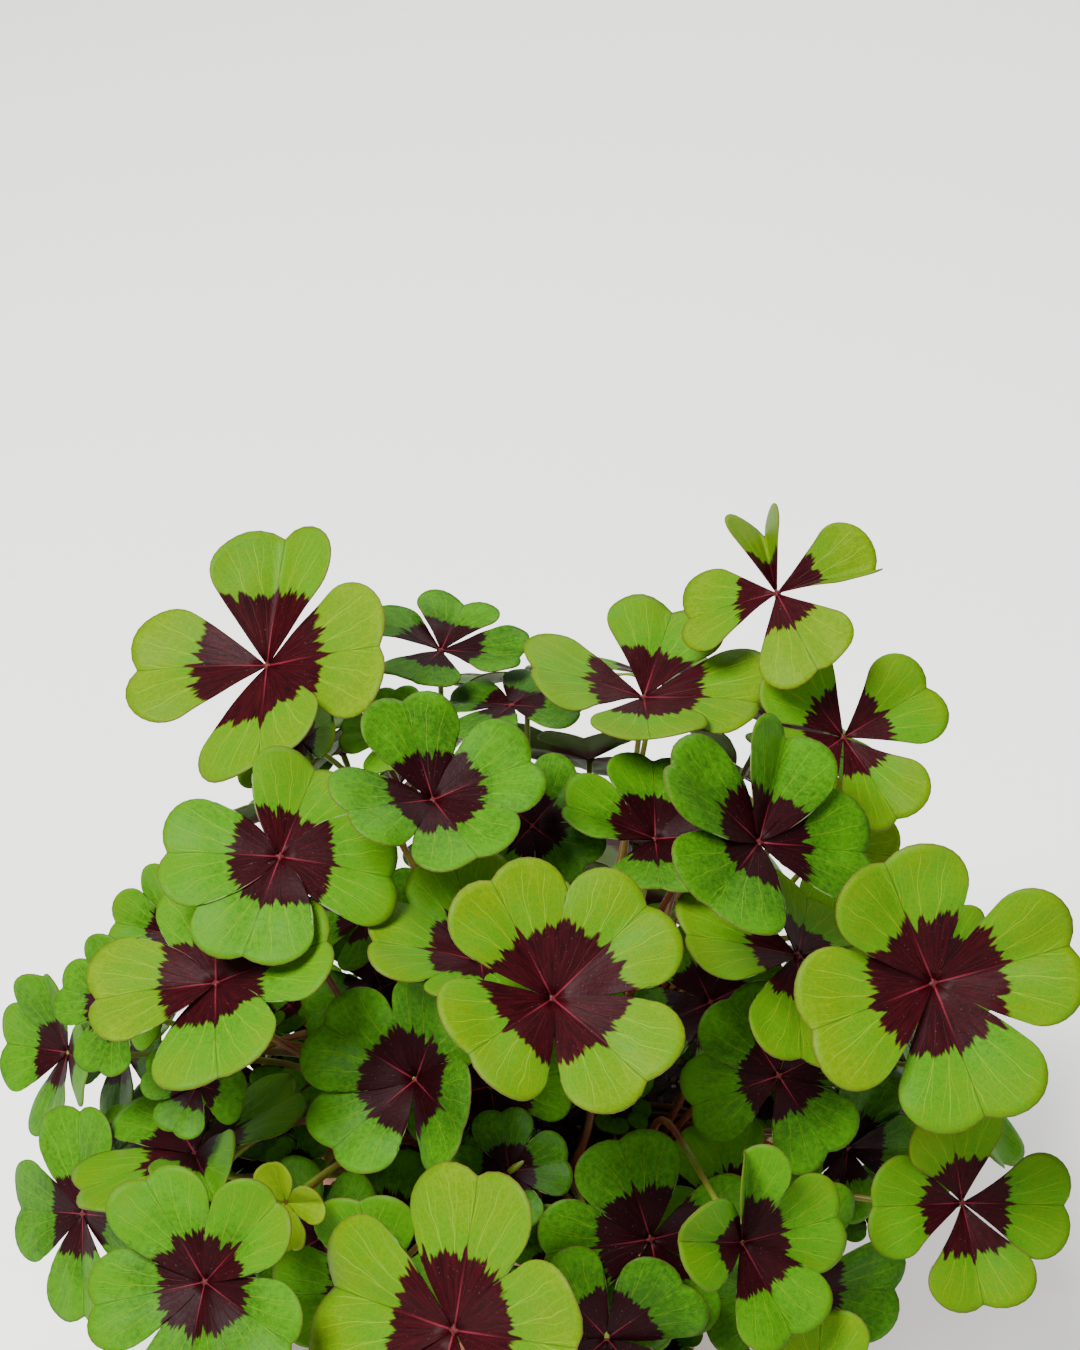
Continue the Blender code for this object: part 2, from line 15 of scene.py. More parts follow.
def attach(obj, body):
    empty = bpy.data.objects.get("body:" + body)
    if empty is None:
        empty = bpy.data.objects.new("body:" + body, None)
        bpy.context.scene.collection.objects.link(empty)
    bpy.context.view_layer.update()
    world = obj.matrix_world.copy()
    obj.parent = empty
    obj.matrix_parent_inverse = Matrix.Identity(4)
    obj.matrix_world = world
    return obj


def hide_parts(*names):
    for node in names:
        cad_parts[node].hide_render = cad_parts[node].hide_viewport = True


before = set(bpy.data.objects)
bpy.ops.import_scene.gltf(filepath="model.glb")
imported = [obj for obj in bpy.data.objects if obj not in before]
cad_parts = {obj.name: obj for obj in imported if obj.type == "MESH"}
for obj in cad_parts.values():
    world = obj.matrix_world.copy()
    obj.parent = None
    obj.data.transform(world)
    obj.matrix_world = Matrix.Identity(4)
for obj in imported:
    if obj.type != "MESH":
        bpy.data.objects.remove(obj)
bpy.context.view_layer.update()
MM = 0.001


# The camera looks down on the crown of leaves through a long lens, from in front.
# The pot lies below the picture's lower edge, as it does in the photograph.
CAMERA_TILT = math.radians(35)
CAMERA_DISTANCE = 0.8
CAMERA_TARGET = Vector((0, 0, 0.25))
CAMERA_LENS = 82.05
CAMERA_SENSOR = 36


def new_object(name, data):
    """An object for a mesh, a lamp or a camera, linked into the scene."""
    item = bpy.data.objects.new(name, data)
    bpy.context.scene.collection.objects.link(item)
    return item


camera_data = bpy.data.cameras.new("camera")
camera_data.lens = CAMERA_LENS
camera_data.sensor_width = CAMERA_SENSOR
camera = new_object("camera", camera_data)
toward = Vector((0, math.cos(CAMERA_TILT), -math.sin(CAMERA_TILT)))
camera.location = CAMERA_TARGET - toward * CAMERA_DISTANCE
camera.rotation_euler = (math.radians(90) - CAMERA_TILT, 0, 0)
bpy.context.scene.camera = camera


# The studio: a pale matte floor and three large soft lamps in a white room.
# The main lamp hangs to the upper left, so the undersides and the middle of the plant stay dim.
FLOOR_SIZE = 8.0
FLOOR_WHITE = "FAF9F6"
ROOM_WHITE = "FFFFFF"
ROOM_LIGHT = 0.5
LAMP_TARGET = Vector((0, 0, 0.15))
LAMPS = {
    "lamp_main": ((-0.6, -0.6, 1.6), 0.7, 88),
    "lamp_front": ((0.9, -1.2, 0.9), 1.0, 9),
    "lamp_back": ((0.3, 1.2, 1.2), 1.0, 16),
}


def linear(code):
    """The linear colour, with alpha 1, of an sRGB colour given as six hex digits."""
    parts = [int(code[start : start + 2], 16) / 255 for start in (0, 2, 4)]
    return (*[part / 12.92 if part <= 0.04045 else ((part + 0.055) / 1.055) ** 2.4 for part in parts], 1)


def new_material(name, roughness):
    """A material with only its surface shader, and that shader."""
    material = bpy.data.materials.new(name)
    material.use_nodes = True
    shader = material.node_tree.nodes["Principled BSDF"]
    shader.inputs["Roughness"].default_value = roughness
    return material, shader


def set_inputs(node, inputs):
    """Sets inputs of a shader node, given by name or number or else in order: each to a value,
    or by a link from a socket or from the first output in use of another node."""
    for socket, value in inputs.items() if isinstance(inputs, dict) else enumerate(inputs):
        if isinstance(value, bpy.types.Node):
            value = next(output for output in value.outputs if output.enabled)
        if isinstance(value, bpy.types.NodeSocket):
            node.id_data.links.new(value, node.inputs[socket])
        else:
            node.inputs[socket].default_value = value


def add_node(material, kind, inputs=(), **settings):
    """Adds a shader node with its settings and its inputs' values and links."""
    node = material.node_tree.nodes.new("ShaderNode" + kind)
    for name, value in settings.items():
        setattr(node, name, value)
    set_inputs(node, inputs)
    return node


# Painted board: even, matte and nearly white.
floor_paint, floor_shader = new_material("pale_floor_paint", 0.9)
set_inputs(floor_shader, {"Base Color": linear(FLOOR_WHITE)})
half = FLOOR_SIZE / 2
floor_corners = [(-half, -half, 0), (half, -half, 0), (half, half, 0), (-half, half, 0)]
floor_mesh = bpy.data.meshes.new("floor")
floor_mesh.from_pydata(floor_corners, [], [(0, 1, 2, 3)])
floor_mesh.materials.append(floor_paint)
floor = new_object("floor", floor_mesh)

room = bpy.data.worlds.new("white_room")
room.use_nodes = True
set_inputs(room.node_tree.nodes["Background"], {"Color": linear(ROOM_WHITE), "Strength": ROOM_LIGHT})
bpy.context.scene.world = room
for name, (place, size, power) in LAMPS.items():
    lamp_data = bpy.data.lights.new(name, "AREA")
    lamp_data.shape = "DISK"
    lamp_data.size = size
    lamp_data.energy = power
    lamp = new_object(name, lamp_data)
    lamp.location = place
    lamp.rotation_euler = (Vector(place) - LAMP_TARGET).to_track_quat("Z", "Y").to_euler()


# The pot: unglazed clay, thrown on a wheel, with a collar rim and three drain holes in its floor.
# Faint turning rings and a slightly uneven wall are left from the throwing.
POT_HEIGHT = 110 * MM
POT_FOOT_RADIUS = 46 * MM
POT_NECK_RADIUS = 62 * MM
RIM_RADIUS = 69 * MM
RIM_HEIGHT = 27 * MM
POT_WALL = 5 * MM
POT_FLOOR = 6 * MM
EDGE_ROUND = 1.5 * MM
ROUND_STEPS = 5
ROUND_MOST = 0.45
POT_STEPS = 144
PROFILE_STEP = 1.5 * MM
TURNING_RING = 2.6 * MM
TURNING_DEPTH = 0.06 * MM
WALL_UNEVENNESS = 0.25 * MM
WALL_WAVE = 70 * MM
DRAIN_COUNT = 3
DRAIN_RADIUS = 4.5 * MM
DRAIN_RING = 24 * MM
DRAIN_TURN = 0.25
DRAIN_STEPS = 32
CLAY = "84492B"
CLAY_PALE = "99664A"
CLAY_DARK = "5F3420"
CLAY_BLOOM = "A48D78"


def waves(points, size, seed):
    """Smooth unevenness within about -1 to 1: the sum of ten sine waves of a size in random directions."""
    draw = np.random.default_rng(seed)
    directions = draw.normal(size=(10, 3))
    directions /= np.linalg.norm(directions, axis=1, keepdims=True)
    phases = draw.uniform(0, math.tau, 10)
    return np.sin(points @ directions.T * (math.tau / size) + phases).sum(axis=-1) / 4


def surface_mesh(name, points, closed=False):
    """Quads over grids of points shaped (grids, rows, columns, 3), facing along rows x columns.
    A closed grid joins its last column to its first, and rows that meet in one point are welded."""
    grids, rows, columns = points.shape[:3]
    index = np.arange(grids * rows * columns).reshape(grids, rows, columns)
    if closed:
        index = np.concatenate([index, index[:, :, :1]], axis=2)
    corners = (index[:, :-1, :-1], index[:, 1:, :-1], index[:, 1:, 1:], index[:, :-1, 1:])
    quads = np.stack(corners, axis=-1).reshape(-1, 4)
    mesh = bpy.data.meshes.new(name)
    mesh.vertices.add(points.size // 3)
    mesh.vertices.foreach_set("co", points.ravel())
    mesh.loops.add(quads.size)
    mesh.loops.foreach_set("vertex_index", quads.ravel())
    mesh.polygons.add(len(quads))
    mesh.polygons.foreach_set("loop_start", np.arange(len(quads)) * 4)
    mesh.update(calc_edges=True)
    mesh.polygons.foreach_set("use_smooth", np.ones(len(quads), bool))
    return mesh


def weld(mesh):
    """Merges points that lie on each other, which closes the poles of a closed surface."""
    bm = bmesh.new()
    bm.from_mesh(mesh)
    bmesh.ops.remove_doubles(bm, verts=bm.verts, dist=0.001 * MM)
    bmesh.ops.dissolve_degenerate(bm, edges=bm.edges, dist=0.0001 * MM)
    bm.to_mesh(mesh)
    bm.free()


def new_piece(name, mesh, materials, slot, *nodes):
    """An object for a finished mesh, which rides on the body and stands for the given nodes."""
    for material in materials:
        mesh.materials.append(material)
    piece = new_object(name, mesh)
    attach(piece, "root")
    if nodes:
        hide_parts(*nodes)
    return piece


def rounded_profile(corners, radius):
    """A run of (radius, height) corners with an arc of the given radius at each inner one,
    as a quadratic curve between the points where it leaves the two sides."""
    profile = [corners[0]]
    for before, corner, after in zip(corners, corners[1:], corners[2:]):
        start = corner + (before - corner) * min(radius / np.linalg.norm(before - corner), ROUND_MOST)
        end = corner + (after - corner) * min(radius / np.linalg.norm(after - corner), ROUND_MOST)
        for share in np.linspace(0, 1, ROUND_STEPS):
            profile.append(start * (1 - share) ** 2 + corner * 2 * share * (1 - share) + end * share**2)
    return np.array([*profile, corners[-1]])


def even_profile(profile, step):
    """The same profile with points added so that none are further apart than the step."""
    points = [profile[0]]
    for start, end in zip(profile, profile[1:]):
        count = max(1, math.ceil(np.linalg.norm(end - start) / step))
        points += [start + (end - start) * share for share in np.linspace(0, 1, count + 1)[1:]]
    return np.array(points)


def turned(profile, steps):
    """A profile of (radius, height) carried once round Z, as one grid of points."""
    angle = np.arange(steps) * math.tau / steps
    radius, height = profile[:, :1], profile[:, 1:]
    flat = (radius * np.cos(angle), radius * np.sin(angle), np.broadcast_to(height, (len(profile), steps)))
    return np.stack(flat, axis=-1)[None]


neck = POT_HEIGHT - RIM_HEIGHT
foot_slope = (POT_NECK_RADIUS - POT_FOOT_RADIUS) / neck
pot_corners = np.array(
    [
        (0, POT_FLOOR),
        (POT_FOOT_RADIUS + foot_slope * POT_FLOOR - POT_WALL, POT_FLOOR),
        (POT_NECK_RADIUS - POT_WALL, neck),
        (RIM_RADIUS - POT_WALL, POT_HEIGHT),
        (RIM_RADIUS, POT_HEIGHT),
        (RIM_RADIUS - EDGE_ROUND, neck),
        (POT_NECK_RADIUS, neck),
        (POT_FOOT_RADIUS, 0),
        (0, 0),
    ]
)
pot_points = turned(even_profile(rounded_profile(pot_corners, EDGE_ROUND), PROFILE_STEP), POT_STEPS)
radial = np.linalg.norm(pot_points[..., :2], axis=-1)
rings = np.sin(pot_points[..., 2] * (math.tau / TURNING_RING)) * TURNING_DEPTH
uneven = waves(pot_points, WALL_WAVE, 3) * WALL_UNEVENNESS
on_wall = np.clip((radial - POT_FOOT_RADIUS / 2) / POT_FOOT_RADIUS, 0, 1)
on_wall *= np.clip(pot_points[..., 2] / POT_WALL, 0, 1)
pot_points[..., :2] *= (1 + (rings + uneven - WALL_UNEVENNESS) * on_wall / np.maximum(radial, MM))[..., None]
pot_mesh = surface_mesh("pot", pot_points, closed=True)
weld(pot_mesh)

# Terracotta: low-fired iron-rich clay. It is orange-brown, matte and slightly sandy,
# darker where water stands in it and with a pale bloom of lime on the rim and near the foot.
terracotta, clay_shader = new_material("terracotta", 0.88)
place = add_node(terracotta, "TexCoord").outputs["Object"]
height = add_node(terracotta, "SeparateXYZ", [place]).outputs["Z"]
cloud = add_node(terracotta, "TexNoise", {"Vector": place, "Scale": 1 / 0.035, "Detail": 6, "Roughness": 0.6})
grit = add_node(terracotta, "TexNoise", {"Vector": place, "Scale": 1 / 0.0009, "Detail": 2})
lime = add_node(terracotta, "TexNoise", {"Vector": place, "Scale": 1 / 0.011, "Detail": 8, "Roughness": 0.7})
patchy = add_node(terracotta, "MapRange", [cloud, 0.35, 0.68], interpolation_type="SMOOTHSTEP")
speck = add_node(terracotta, "MapRange", [grit, 0.62, 0.74])
low_wall = add_node(terracotta, "MapRange", [height, 0.075, 0.02, 0.0, 0.55])
damp = add_node(terracotta, "Math", [low_wall, patchy], operation="MULTIPLY")
foot_band = add_node(terracotta, "MapRange", [height, 0.022, 0.0, 0.0, 0.8])
rim_band = add_node(terracotta, "MapRange", [height, 0.1, 0.11, 0.0, 0.7])
bands = add_node(terracotta, "Math", [foot_band, rim_band], operation="ADD")
limy = add_node(terracotta, "MapRange", [lime, 0.5, 0.68])
bloom = add_node(terracotta, "Math", [bands, limy], operation="MULTIPLY")
clay = linear(CLAY)
for share, shade in ((patchy, CLAY_PALE), (damp, CLAY_DARK), (bloom, CLAY_BLOOM), (speck, CLAY_DARK)):
    clay = add_node(terracotta, "Mix", {0: share, 6: clay, 7: linear(shade)}, data_type="RGBA")
clay_bump = add_node(terracotta, "Bump", {"Height": grit, "Strength": 0.35, "Distance": 0.3 * MM})
set_inputs(clay_shader, {"Base Color": clay, "Normal": clay_bump})

pot = new_piece("clay_pot", pot_mesh, [terracotta], "terracotta", "pot")
drills = []
bore = [(0, 2 * POT_FLOOR), (DRAIN_RADIUS, 2 * POT_FLOOR), (DRAIN_RADIUS, -POT_FLOOR), (0, -POT_FLOOR)]
for index in range(DRAIN_COUNT):
    angle = math.tau * (index + DRAIN_TURN) / DRAIN_COUNT
    middle = (DRAIN_RING * math.cos(angle), DRAIN_RING * math.sin(angle), 0)
    bore_mesh = surface_mesh("drain_bore", turned(np.array(bore), DRAIN_STEPS) + middle, closed=True)
    weld(bore_mesh)
    drills.append(new_object("drain_bore", bore_mesh))
    drain = pot.modifiers.new("drain", "BOOLEAN")
    drain.object = drills[-1]
    drain.solver = "EXACT"
bpy.context.view_layer.update()
drained = bpy.data.meshes.new_from_object(pot.evaluated_get(bpy.context.evaluated_depsgraph_get()))
pot.modifiers.clear()
pot.data = drained
for drill in drills:
    bpy.data.objects.remove(drill, do_unlink=True)


# The soil: dark peat potting mix that fills the pot to a finger's width below the rim.
# Its top is crumbly, a little higher in the middle, with loose crumbs and pale grit lying on it.
SOIL_EDGE = 94 * MM
SOIL_TOP = 96 * MM
GAP = 0.3 * MM
SOIL_RINGS = 64
SOIL_STEPS = 200
SOIL_LUMPS = 0.9 * MM
SOIL_WAVES = ((9 * MM, 1.0), (4 * MM, 0.6), (1.8 * MM, 0.35))
PEAT = "221710"
PEAT_PALE = "382618"
PEAT_DARK = "100A06"

soil_share = (SOIL_EDGE - neck) / RIM_HEIGHT
soil_radius = RIM_RADIUS - POT_WALL - (RIM_RADIUS - POT_NECK_RADIUS) * (1 - soil_share) - 2 * GAP
top_radius = np.linspace(0, soil_radius, SOIL_RINGS)
top_height = SOIL_EDGE + (SOIL_TOP - SOIL_EDGE) * (1 - (top_radius / soil_radius) ** 2)
soil_profile = np.array(
    [
        *zip(top_radius, top_height),
        (POT_NECK_RADIUS - POT_WALL - 2 * GAP, neck),
        (POT_FOOT_RADIUS + foot_slope * POT_FLOOR - POT_WALL - 2 * GAP, POT_FLOOR + GAP),
        (0, POT_FLOOR + GAP),
    ]
)
soil_points = turned(soil_profile, SOIL_STEPS)
lumps = sum(waves(soil_points, size, 11 + n) * share for n, (size, share) in enumerate(SOIL_WAVES))
soil_points[:, : SOIL_RINGS - 1, :, 2] += lumps[:, : SOIL_RINGS - 1] * SOIL_LUMPS
soil_mesh = surface_mesh("soil", soil_points, closed=True)
weld(soil_mesh)

# Peat mix: decayed fibre with bark dust. It is nearly black, dull and rough, browner where it dried, and
# darker in its pores with painted shade.
peat, peat_shader = new_material("peat_potting_mix", 0.95)
place = add_node(peat, "TexCoord").outputs["Object"]
dry = add_node(peat, "TexNoise", {"Vector": place, "Scale": 1 / 0.006, "Detail": 8, "Roughness": 0.75})
fibre = add_node(peat, "TexNoise", {"Vector": place, "Scale": 1 / 0.0012, "Detail": 4, "Roughness": 0.7})
dried = add_node(peat, "MapRange", [dry, 0.45, 0.75])
# Painted shade: the low spots of the fibre, where the bump sinks, are darkened.
pore_shading = add_node(peat, "MapRange", [fibre, 0.5, 0.35])
earth = linear(PEAT)
for share, shade in ((dried, PEAT_PALE), (pore_shading, PEAT_DARK)):
    earth = add_node(peat, "Mix", {0: share, 6: earth, 7: linear(shade)}, data_type="RGBA")
earth_bump = add_node(peat, "Bump", {"Height": fibre, "Strength": 0.9, "Distance": 1.2 * MM})
set_inputs(peat_shader, {"Base Color": earth, "Normal": earth_bump})
new_piece("soil_bed", soil_mesh, [peat], "potting_soil", "soil")


# Loose crumbs of peat and bark, and pale volcanic grit, lie on the soil.
# Each is a small lump, flattened and turned at random, sunk by a third.
CRUMB_COUNT = 620
GRIT_COUNT = 90
CRUMB_SIZES = (0.5 * MM, 1.7 * MM)
GRIT_SIZES = (0.5 * MM, 1.2 * MM)
LUMP_STRETCH = (0.6, 1.4)
LUMP_FLATNESS = 0.7
LUMP_ROUGHNESS = 0.25
LUMP_WAVE = 1.6 * MM
LUMP_LIFT = 0.4 * MM
LUMP_RISE = 0.3
BARK = "46301F"
GRIT = "8F887A"
GRIT_SHADED = "6A6254"


def ball(rows, around):
    """Points of a unit ball: rows from its top to its bottom, and columns at the angles around."""
    across = np.linspace(0, math.pi, rows)[:, None]
    height = np.cos(across) * np.ones_like(around)
    return np.stack([np.sin(across) * np.cos(around), np.sin(across) * np.sin(around), height], axis=-1)


def scattered_lumps(count, sizes, seed):
    """Small closed lumps on the soil's top: balls of 7 rows of 8 points, stretched along random
    axes, roughened by waves, and placed evenly over the disc by the square root of a draw."""
    draw = np.random.default_rng(seed)
    radius = draw.uniform(*sizes, (count, 1, 1, 1))
    stretch = draw.uniform(*LUMP_STRETCH, (count, 1, 1, 3)) * (1, 1, LUMP_FLATNESS)
    turn = draw.uniform(0, math.tau, (count, 1, 1))
    reach = (soil_radius - 2 * MM) * np.sqrt(draw.uniform(0, 1, (count, 1, 1)))
    heading = draw.uniform(0, math.tau, (count, 1, 1))
    lump = ball(7, np.arange(8) * math.tau / 8)[None] * radius * stretch
    rough = waves(lump + draw.uniform(0, 1, (count, 1, 1, 1)), LUMP_WAVE, seed)
    lump *= 1 + LUMP_ROUGHNESS * rough[..., None]
    x = lump[..., 0] * np.cos(turn) - lump[..., 1] * np.sin(turn) + reach * np.cos(heading)
    y = lump[..., 0] * np.sin(turn) + lump[..., 1] * np.cos(turn) + reach * np.sin(heading)
    ground = SOIL_EDGE + (SOIL_TOP - SOIL_EDGE) * (1 - (reach / soil_radius) ** 2) + LUMP_LIFT
    return np.stack([x, y, lump[..., 2] + ground + LUMP_RISE * radius[..., 0]], axis=-1)


# Bark crumbs: torn softwood bark, brown and dull.
bark, bark_shader = new_material("bark_crumbs", 0.9)
place = add_node(bark, "TexCoord").outputs["Object"]
tone = add_node(bark, "TexNoise", {"Vector": place, "Scale": 1 / 0.004, "Detail": 3})
torn = add_node(bark, "MapRange", [tone, 0.4, 0.62])
crumb = add_node(bark, "Mix", {0: torn, 6: linear(PEAT_DARK), 7: linear(BARK)}, data_type="RGBA")
set_inputs(bark_shader, {"Base Color": crumb})
crumb_mesh = surface_mesh("soil_crumbs", scattered_lumps(CRUMB_COUNT, CRUMB_SIZES, 21), closed=True)
weld(crumb_mesh)
new_piece("soil_crumbs", crumb_mesh, [bark], "potting_soil")

# Perlite: heat-puffed volcanic glass. It is off-white, dull and full of pores.
perlite, perlite_shader = new_material("perlite_grit", 0.85)
place = add_node(perlite, "TexCoord").outputs["Object"]
pore_shading = add_node(perlite, "TexNoise", {"Vector": place, "Scale": 1 / 0.0006, "Detail": 2})
grain = add_node(perlite, "Mix", {0: pore_shading, 6: linear(GRIT_SHADED), 7: linear(GRIT)}, data_type="RGBA")
set_inputs(perlite_shader, {"Base Color": grain})
grit_mesh = surface_mesh("pale_grit", scattered_lumps(GRIT_COUNT, GRIT_SIZES, 22), closed=True)
weld(grit_mesh)
new_piece("pale_grit", grit_mesh, [perlite], "potting_soil")


# The plan of the plant: where each leaf's hub is, how it lies, and how its stalk gets there.
# It repeats the rows and the rule of the solids, so that every leaf sits where its solid does.
CROWN_NECK = 3.2 * MM
INNER_CROWNS = 4
INNER_RING = 17 * MM
OUTER_CROWNS = 8
OUTER_RING = 41 * MM
CROWN_SHARE = 0.38
MOST_TO_A_CROWN = 7
ROOT_SHARE = 0.4
ROOT_ABOVE_SOIL = 0.5 * MM
LOBE_ALONG = 0.74
LOBE_ACROSS = 0.18
LOBE_RADIUS = 0.30
OUTLINE_ANGLES = (35.5, 27.0, 10.0)
CREASE_SHARE = 0.5
HUB_RADIUS = 1.8 * MM
HUB_ANGLE = 24.0
GUTTER = 0.12
ARCH = 0.30
DROOP = 0.05
FULL_LEAFLETS = 4
LONGEST_LEAFLET = 45
STALK_POINTS = 7
STALK_SAMPLES = 10
STALK_RISE = 0.42
STALK_LEAN = 0.08
STALK_REACH = 0.32
SWING_STEP = 5 * MM
SWING_SIZES = 9
SWING_TURNS = 12
SWING_SHARES = ((1.0, 0.6), (0.3, 1.2), (1.0, -0.4))
BLADE_CLEARANCE = 2.3 * MM
STALK_CLEARANCE = 2.5 * MM
RIM_CLEARANCE = 3 * MM
CROWDED_SHARE = 0.3
ROOM_NEEDED = 0.9
RULE_SEED = 7
RULE_LEAVES = 20
RULE_TRIES = 900
RULE_STEPS = (0.754878, 0.569840)
RULE_LOWEST = -5
RULE_HIGHEST = 68
RULE_TILT = 62
RULE_TILT_FADE = 0.75
RULE_TILT_SPREAD = 8
RULE_LEAN_SPREAD = 15
RULE_TURN = 90
RULE_TURN_STEP = 5
RULE_BEHIND = -0.15
RULE_REACH_BEHIND = (0.74, 1.0)
RULE_REACH_INSIDE = (0.55, 0.8)
HIGHEST_INSIDE = 150
RULE_LENGTHS = (26, 28, 30, 32, 34)
RULE_CUPS = (5, 10, 15)
DOME_MIDDLE = (0, 5, 105)
DOME_SIZE = (124, 120, 134)
LOWEST_INSIDE = 116
LOWEST_OUTSIDE = 82
LEAF_SPACING = 2.6 * MM
INNER_SEED = 5
INNER_LEAVES = 24
INNER_TRIES = 420
INNER_STEPS = (0.819173, 0.671044, 0.549700)
INNER_REACH = (12, 112)
INNER_HEIGHTS = (104, 178)
INNER_FALL = 0.35
INNER_TILT = 42
INNER_TILT_SPREAD = 12
INNER_LENGTHS = (17, 19, 21, 23, 26)
INNER_TONES = (0.0, 0.35)
INNER_SPACING = 1.8 * MM
MOST_INNER_TO_A_CROWN = 14
SPOT_TRIES = 40
SPOT_SHIFT = 9
SPOT_LONGEST = 26
SPOT_SHORTEST = 9


class Leaf(NamedTuple):
    """One leaf: its hub in mm, how far and which way it tilts from level, its leaflets' headings and
    length, how far they rise as a cup and fold on their midribs, and its tone: 0 for the old dark
    green leaves, 1 for the young lime ones, more for yellow. One leaflet may be paler. Fullness
    is how much its leaflets widen near the hub."""

    hub: tuple
    tilt: float
    lean: float
    headings: tuple
    length: float
    cup: float = 10
    folds: tuple = (8, 8, 8, 8, 8)
    tone: float = 0.5
    pale: int = -1
    fullness: float = 0.22


# The leaves in the photograph, back to front. Angles are degrees, counterclockwise from +X.
TOP_LEAVES = (
    Leaf((-28, 62, 215), 5, 45, (75, 150, 250, 345), 25, tone=0.25, fullness=-0.1),
    Leaf((-8, 38, 213), 15, 120, (340, 60, 150, 240), 22, 0, tone=0.05),
    Leaf((-74, 30, 232), 30, 235, (350, 75, 175, 270), 39, 15, (8, 30, 8, 8), tone=0.9, fullness=0.04),
    Leaf((63, 28, 257), 25, 210, (5, 95, 170, 285), 29, -8, (40, 60, 8, 8), tone=1, fullness=-0.1),
    Leaf((-40, 22, 215), 20, 230, (355, 85, 175, 265), 15, tone=0.5),
    Leaf((-65, 20, 214), 50, 215, (350, 85, 185, 265), 20, 20, tone=0.6),
    Leaf((28, 22, 227), 5, 335, (345, 75, 180, 270), 34, 18, tone=0.75, fullness=-0.1),
    Leaf((81, 8, 224), 40, 295, (38, 142, 222, 303), 29, 15, tone=0.85, fullness=-0.1),
)
MIDDLE_LEAVES = (
    Leaf((79, 4, 190), 40, 310, (5, 95, 185, 275), 21, tone=0.85),
    Leaf((-2, -15, 212), 35, 270, (50, 140, 230, 320), 20, tone=0.2),
    Leaf((30, -22, 213), 10, 320, (0, 92, 172, 270), 27, 15, tone=0.38),
    Leaf((-98, -12, 172), 60, 225, (340, 70, 150, 250), 21, 20, tone=0.5),
    Leaf((-27, -38, 238), 20, 305, (25, 115, 210, 295), 29, 22, tone=0.3),
    Leaf((-66, -42, 223), 25, 285, (355, 75, 180, 255), 31, 0, tone=0.6, fullness=0.6),
    Leaf((55, -45, 230), 40, 330, (15, 85, 165, 240), 34, 10, (8, 30, 8, 8), tone=0.22, fullness=0.4),
    Leaf((107, -26, 171), 65, 310, (10, 100, 190, 280), 20, 15, tone=0.8),
    Leaf((-82, -62, 198), 20, 215, (5, 90, 180, 275), 34, 10, tone=0.65, pale=2, fullness=0.5),
    Leaf((-15, -56, 200), 5, 225, (10, 105, 185, 275), 31, 28, tone=0.7),
    Leaf((66, -50, 197), 30, 345, (0, 75, 185, 275), 33, -8, tone=0.8),
    Leaf((98, -71, 206), 55, 280, (20, 120, 202, 293), 38, 15, tone=0.8, fullness=0.12),
    Leaf((3, -92, 219), 30, 300, (50, 130, 225, 315), 35, 22, tone=0.8, fullness=0.14),
)
LOWER_LEAVES = (
    Leaf((-132, -10, 128), 70, 215, (330, 65, 150, 240), 25, 20, tone=0.35),
    Leaf((-118, 2, 120), 65, 215, (340, 70, 160, 250), 22, tone=0.2),
    Leaf((-112, -32, 165), 60, 230, (335, 65, 150, 240), 20, 15, tone=0.38),
    Leaf((-89, -60, 162), 45, 250, (335, 65, 160, 240), 15, 15, tone=0.2),
    Leaf((-92, -56, 133), 20, 160, (15, 115, 195, 290), 34, 10, (8, 8, 8, 45), tone=0.4, pale=2),
    Leaf((-32, -66, 169), 50, 235, (40, 135, 215, 315), 30, 28, tone=0.25),
    Leaf((-13, -50, 152), 60, 240, (0, 90, 180, 270), 26, tone=0.25),
    Leaf((62, -60, 165), 60, 275, (30, 125, 200, 305), 26, 5, tone=0.35),
    Leaf((83, -48, 128), 65, 290, (5, 80, 180, 275), 22, 5, tone=0.2),
    Leaf((111, -72, 131), 55, 285, (5, 110, 185, 285), 29, 15, tone=0.75, fullness=-0.2),
    Leaf((-125, -50, 105), 65, 220, (340, 70, 160, 250), 30, 5, tone=0.35),
)
FRONT_LEAVES = (
    Leaf((-84, -110, 141), 48, 245, (35, 112, 184, 255, 322), 32, 12, (25, 8, 8, 8, 8), 0.38, 0),
    Leaf((-65, -86, 145), 60, 255, (0, 95, 185, 275), 13, 20, (30, 40, 30, 30), 1.35),
    Leaf((-40, -68, 115), 50, 230, (42, 118, 215, 305), 23, 0, tone=0.2),
    Leaf((-42, -96, 123), 65, 250, (355, 85, 175, 265), 28, tone=0.35),
    Leaf((-21, -128, 143), 55, 225, (340, 60, 150, 240), 42, 5, tone=0.8),
    Leaf((17, -112, 123), 65, 270, (40, 130, 220, 310), 27, tone=0.2),
    Leaf((28, -98, 144), 65, 275, (15, 110, 190, 285), 29, 0, tone=0.32),
    Leaf((51, -72, 130), 60, 285, (25, 115, 205, 295), 26, 10, tone=0.5),
    Leaf((50, -110, 155), 60, 310, (30, 120, 190, 310), 28, 20, (8, 50, 30, 8), 0.55),
    Leaf((67, -86, 113), 65, 295, (10, 100, 190, 280), 30, tone=0.2),
    Leaf((70, -122, 111), 65, 265, (355, 85, 175, 265), 26, tone=0.9),
    Leaf((5, -86, 118), 60, 270, (25, 115, 205, 295), 22, tone=0.2),
    Leaf((10, -103, 112), 65, 275, (30, 120, 210, 300), 24, tone=0.2),
    Leaf((-58, -72, 118), 60, 235, (15, 105, 195, 285), 24, tone=0.2),
    Leaf((47, -14, 150), 45, 255, (20, 110, 200, 290), 24, tone=0.2),
    Leaf((-44, -6, 148), 45, 240, (10, 100, 190, 280), 24, tone=0.2),
)


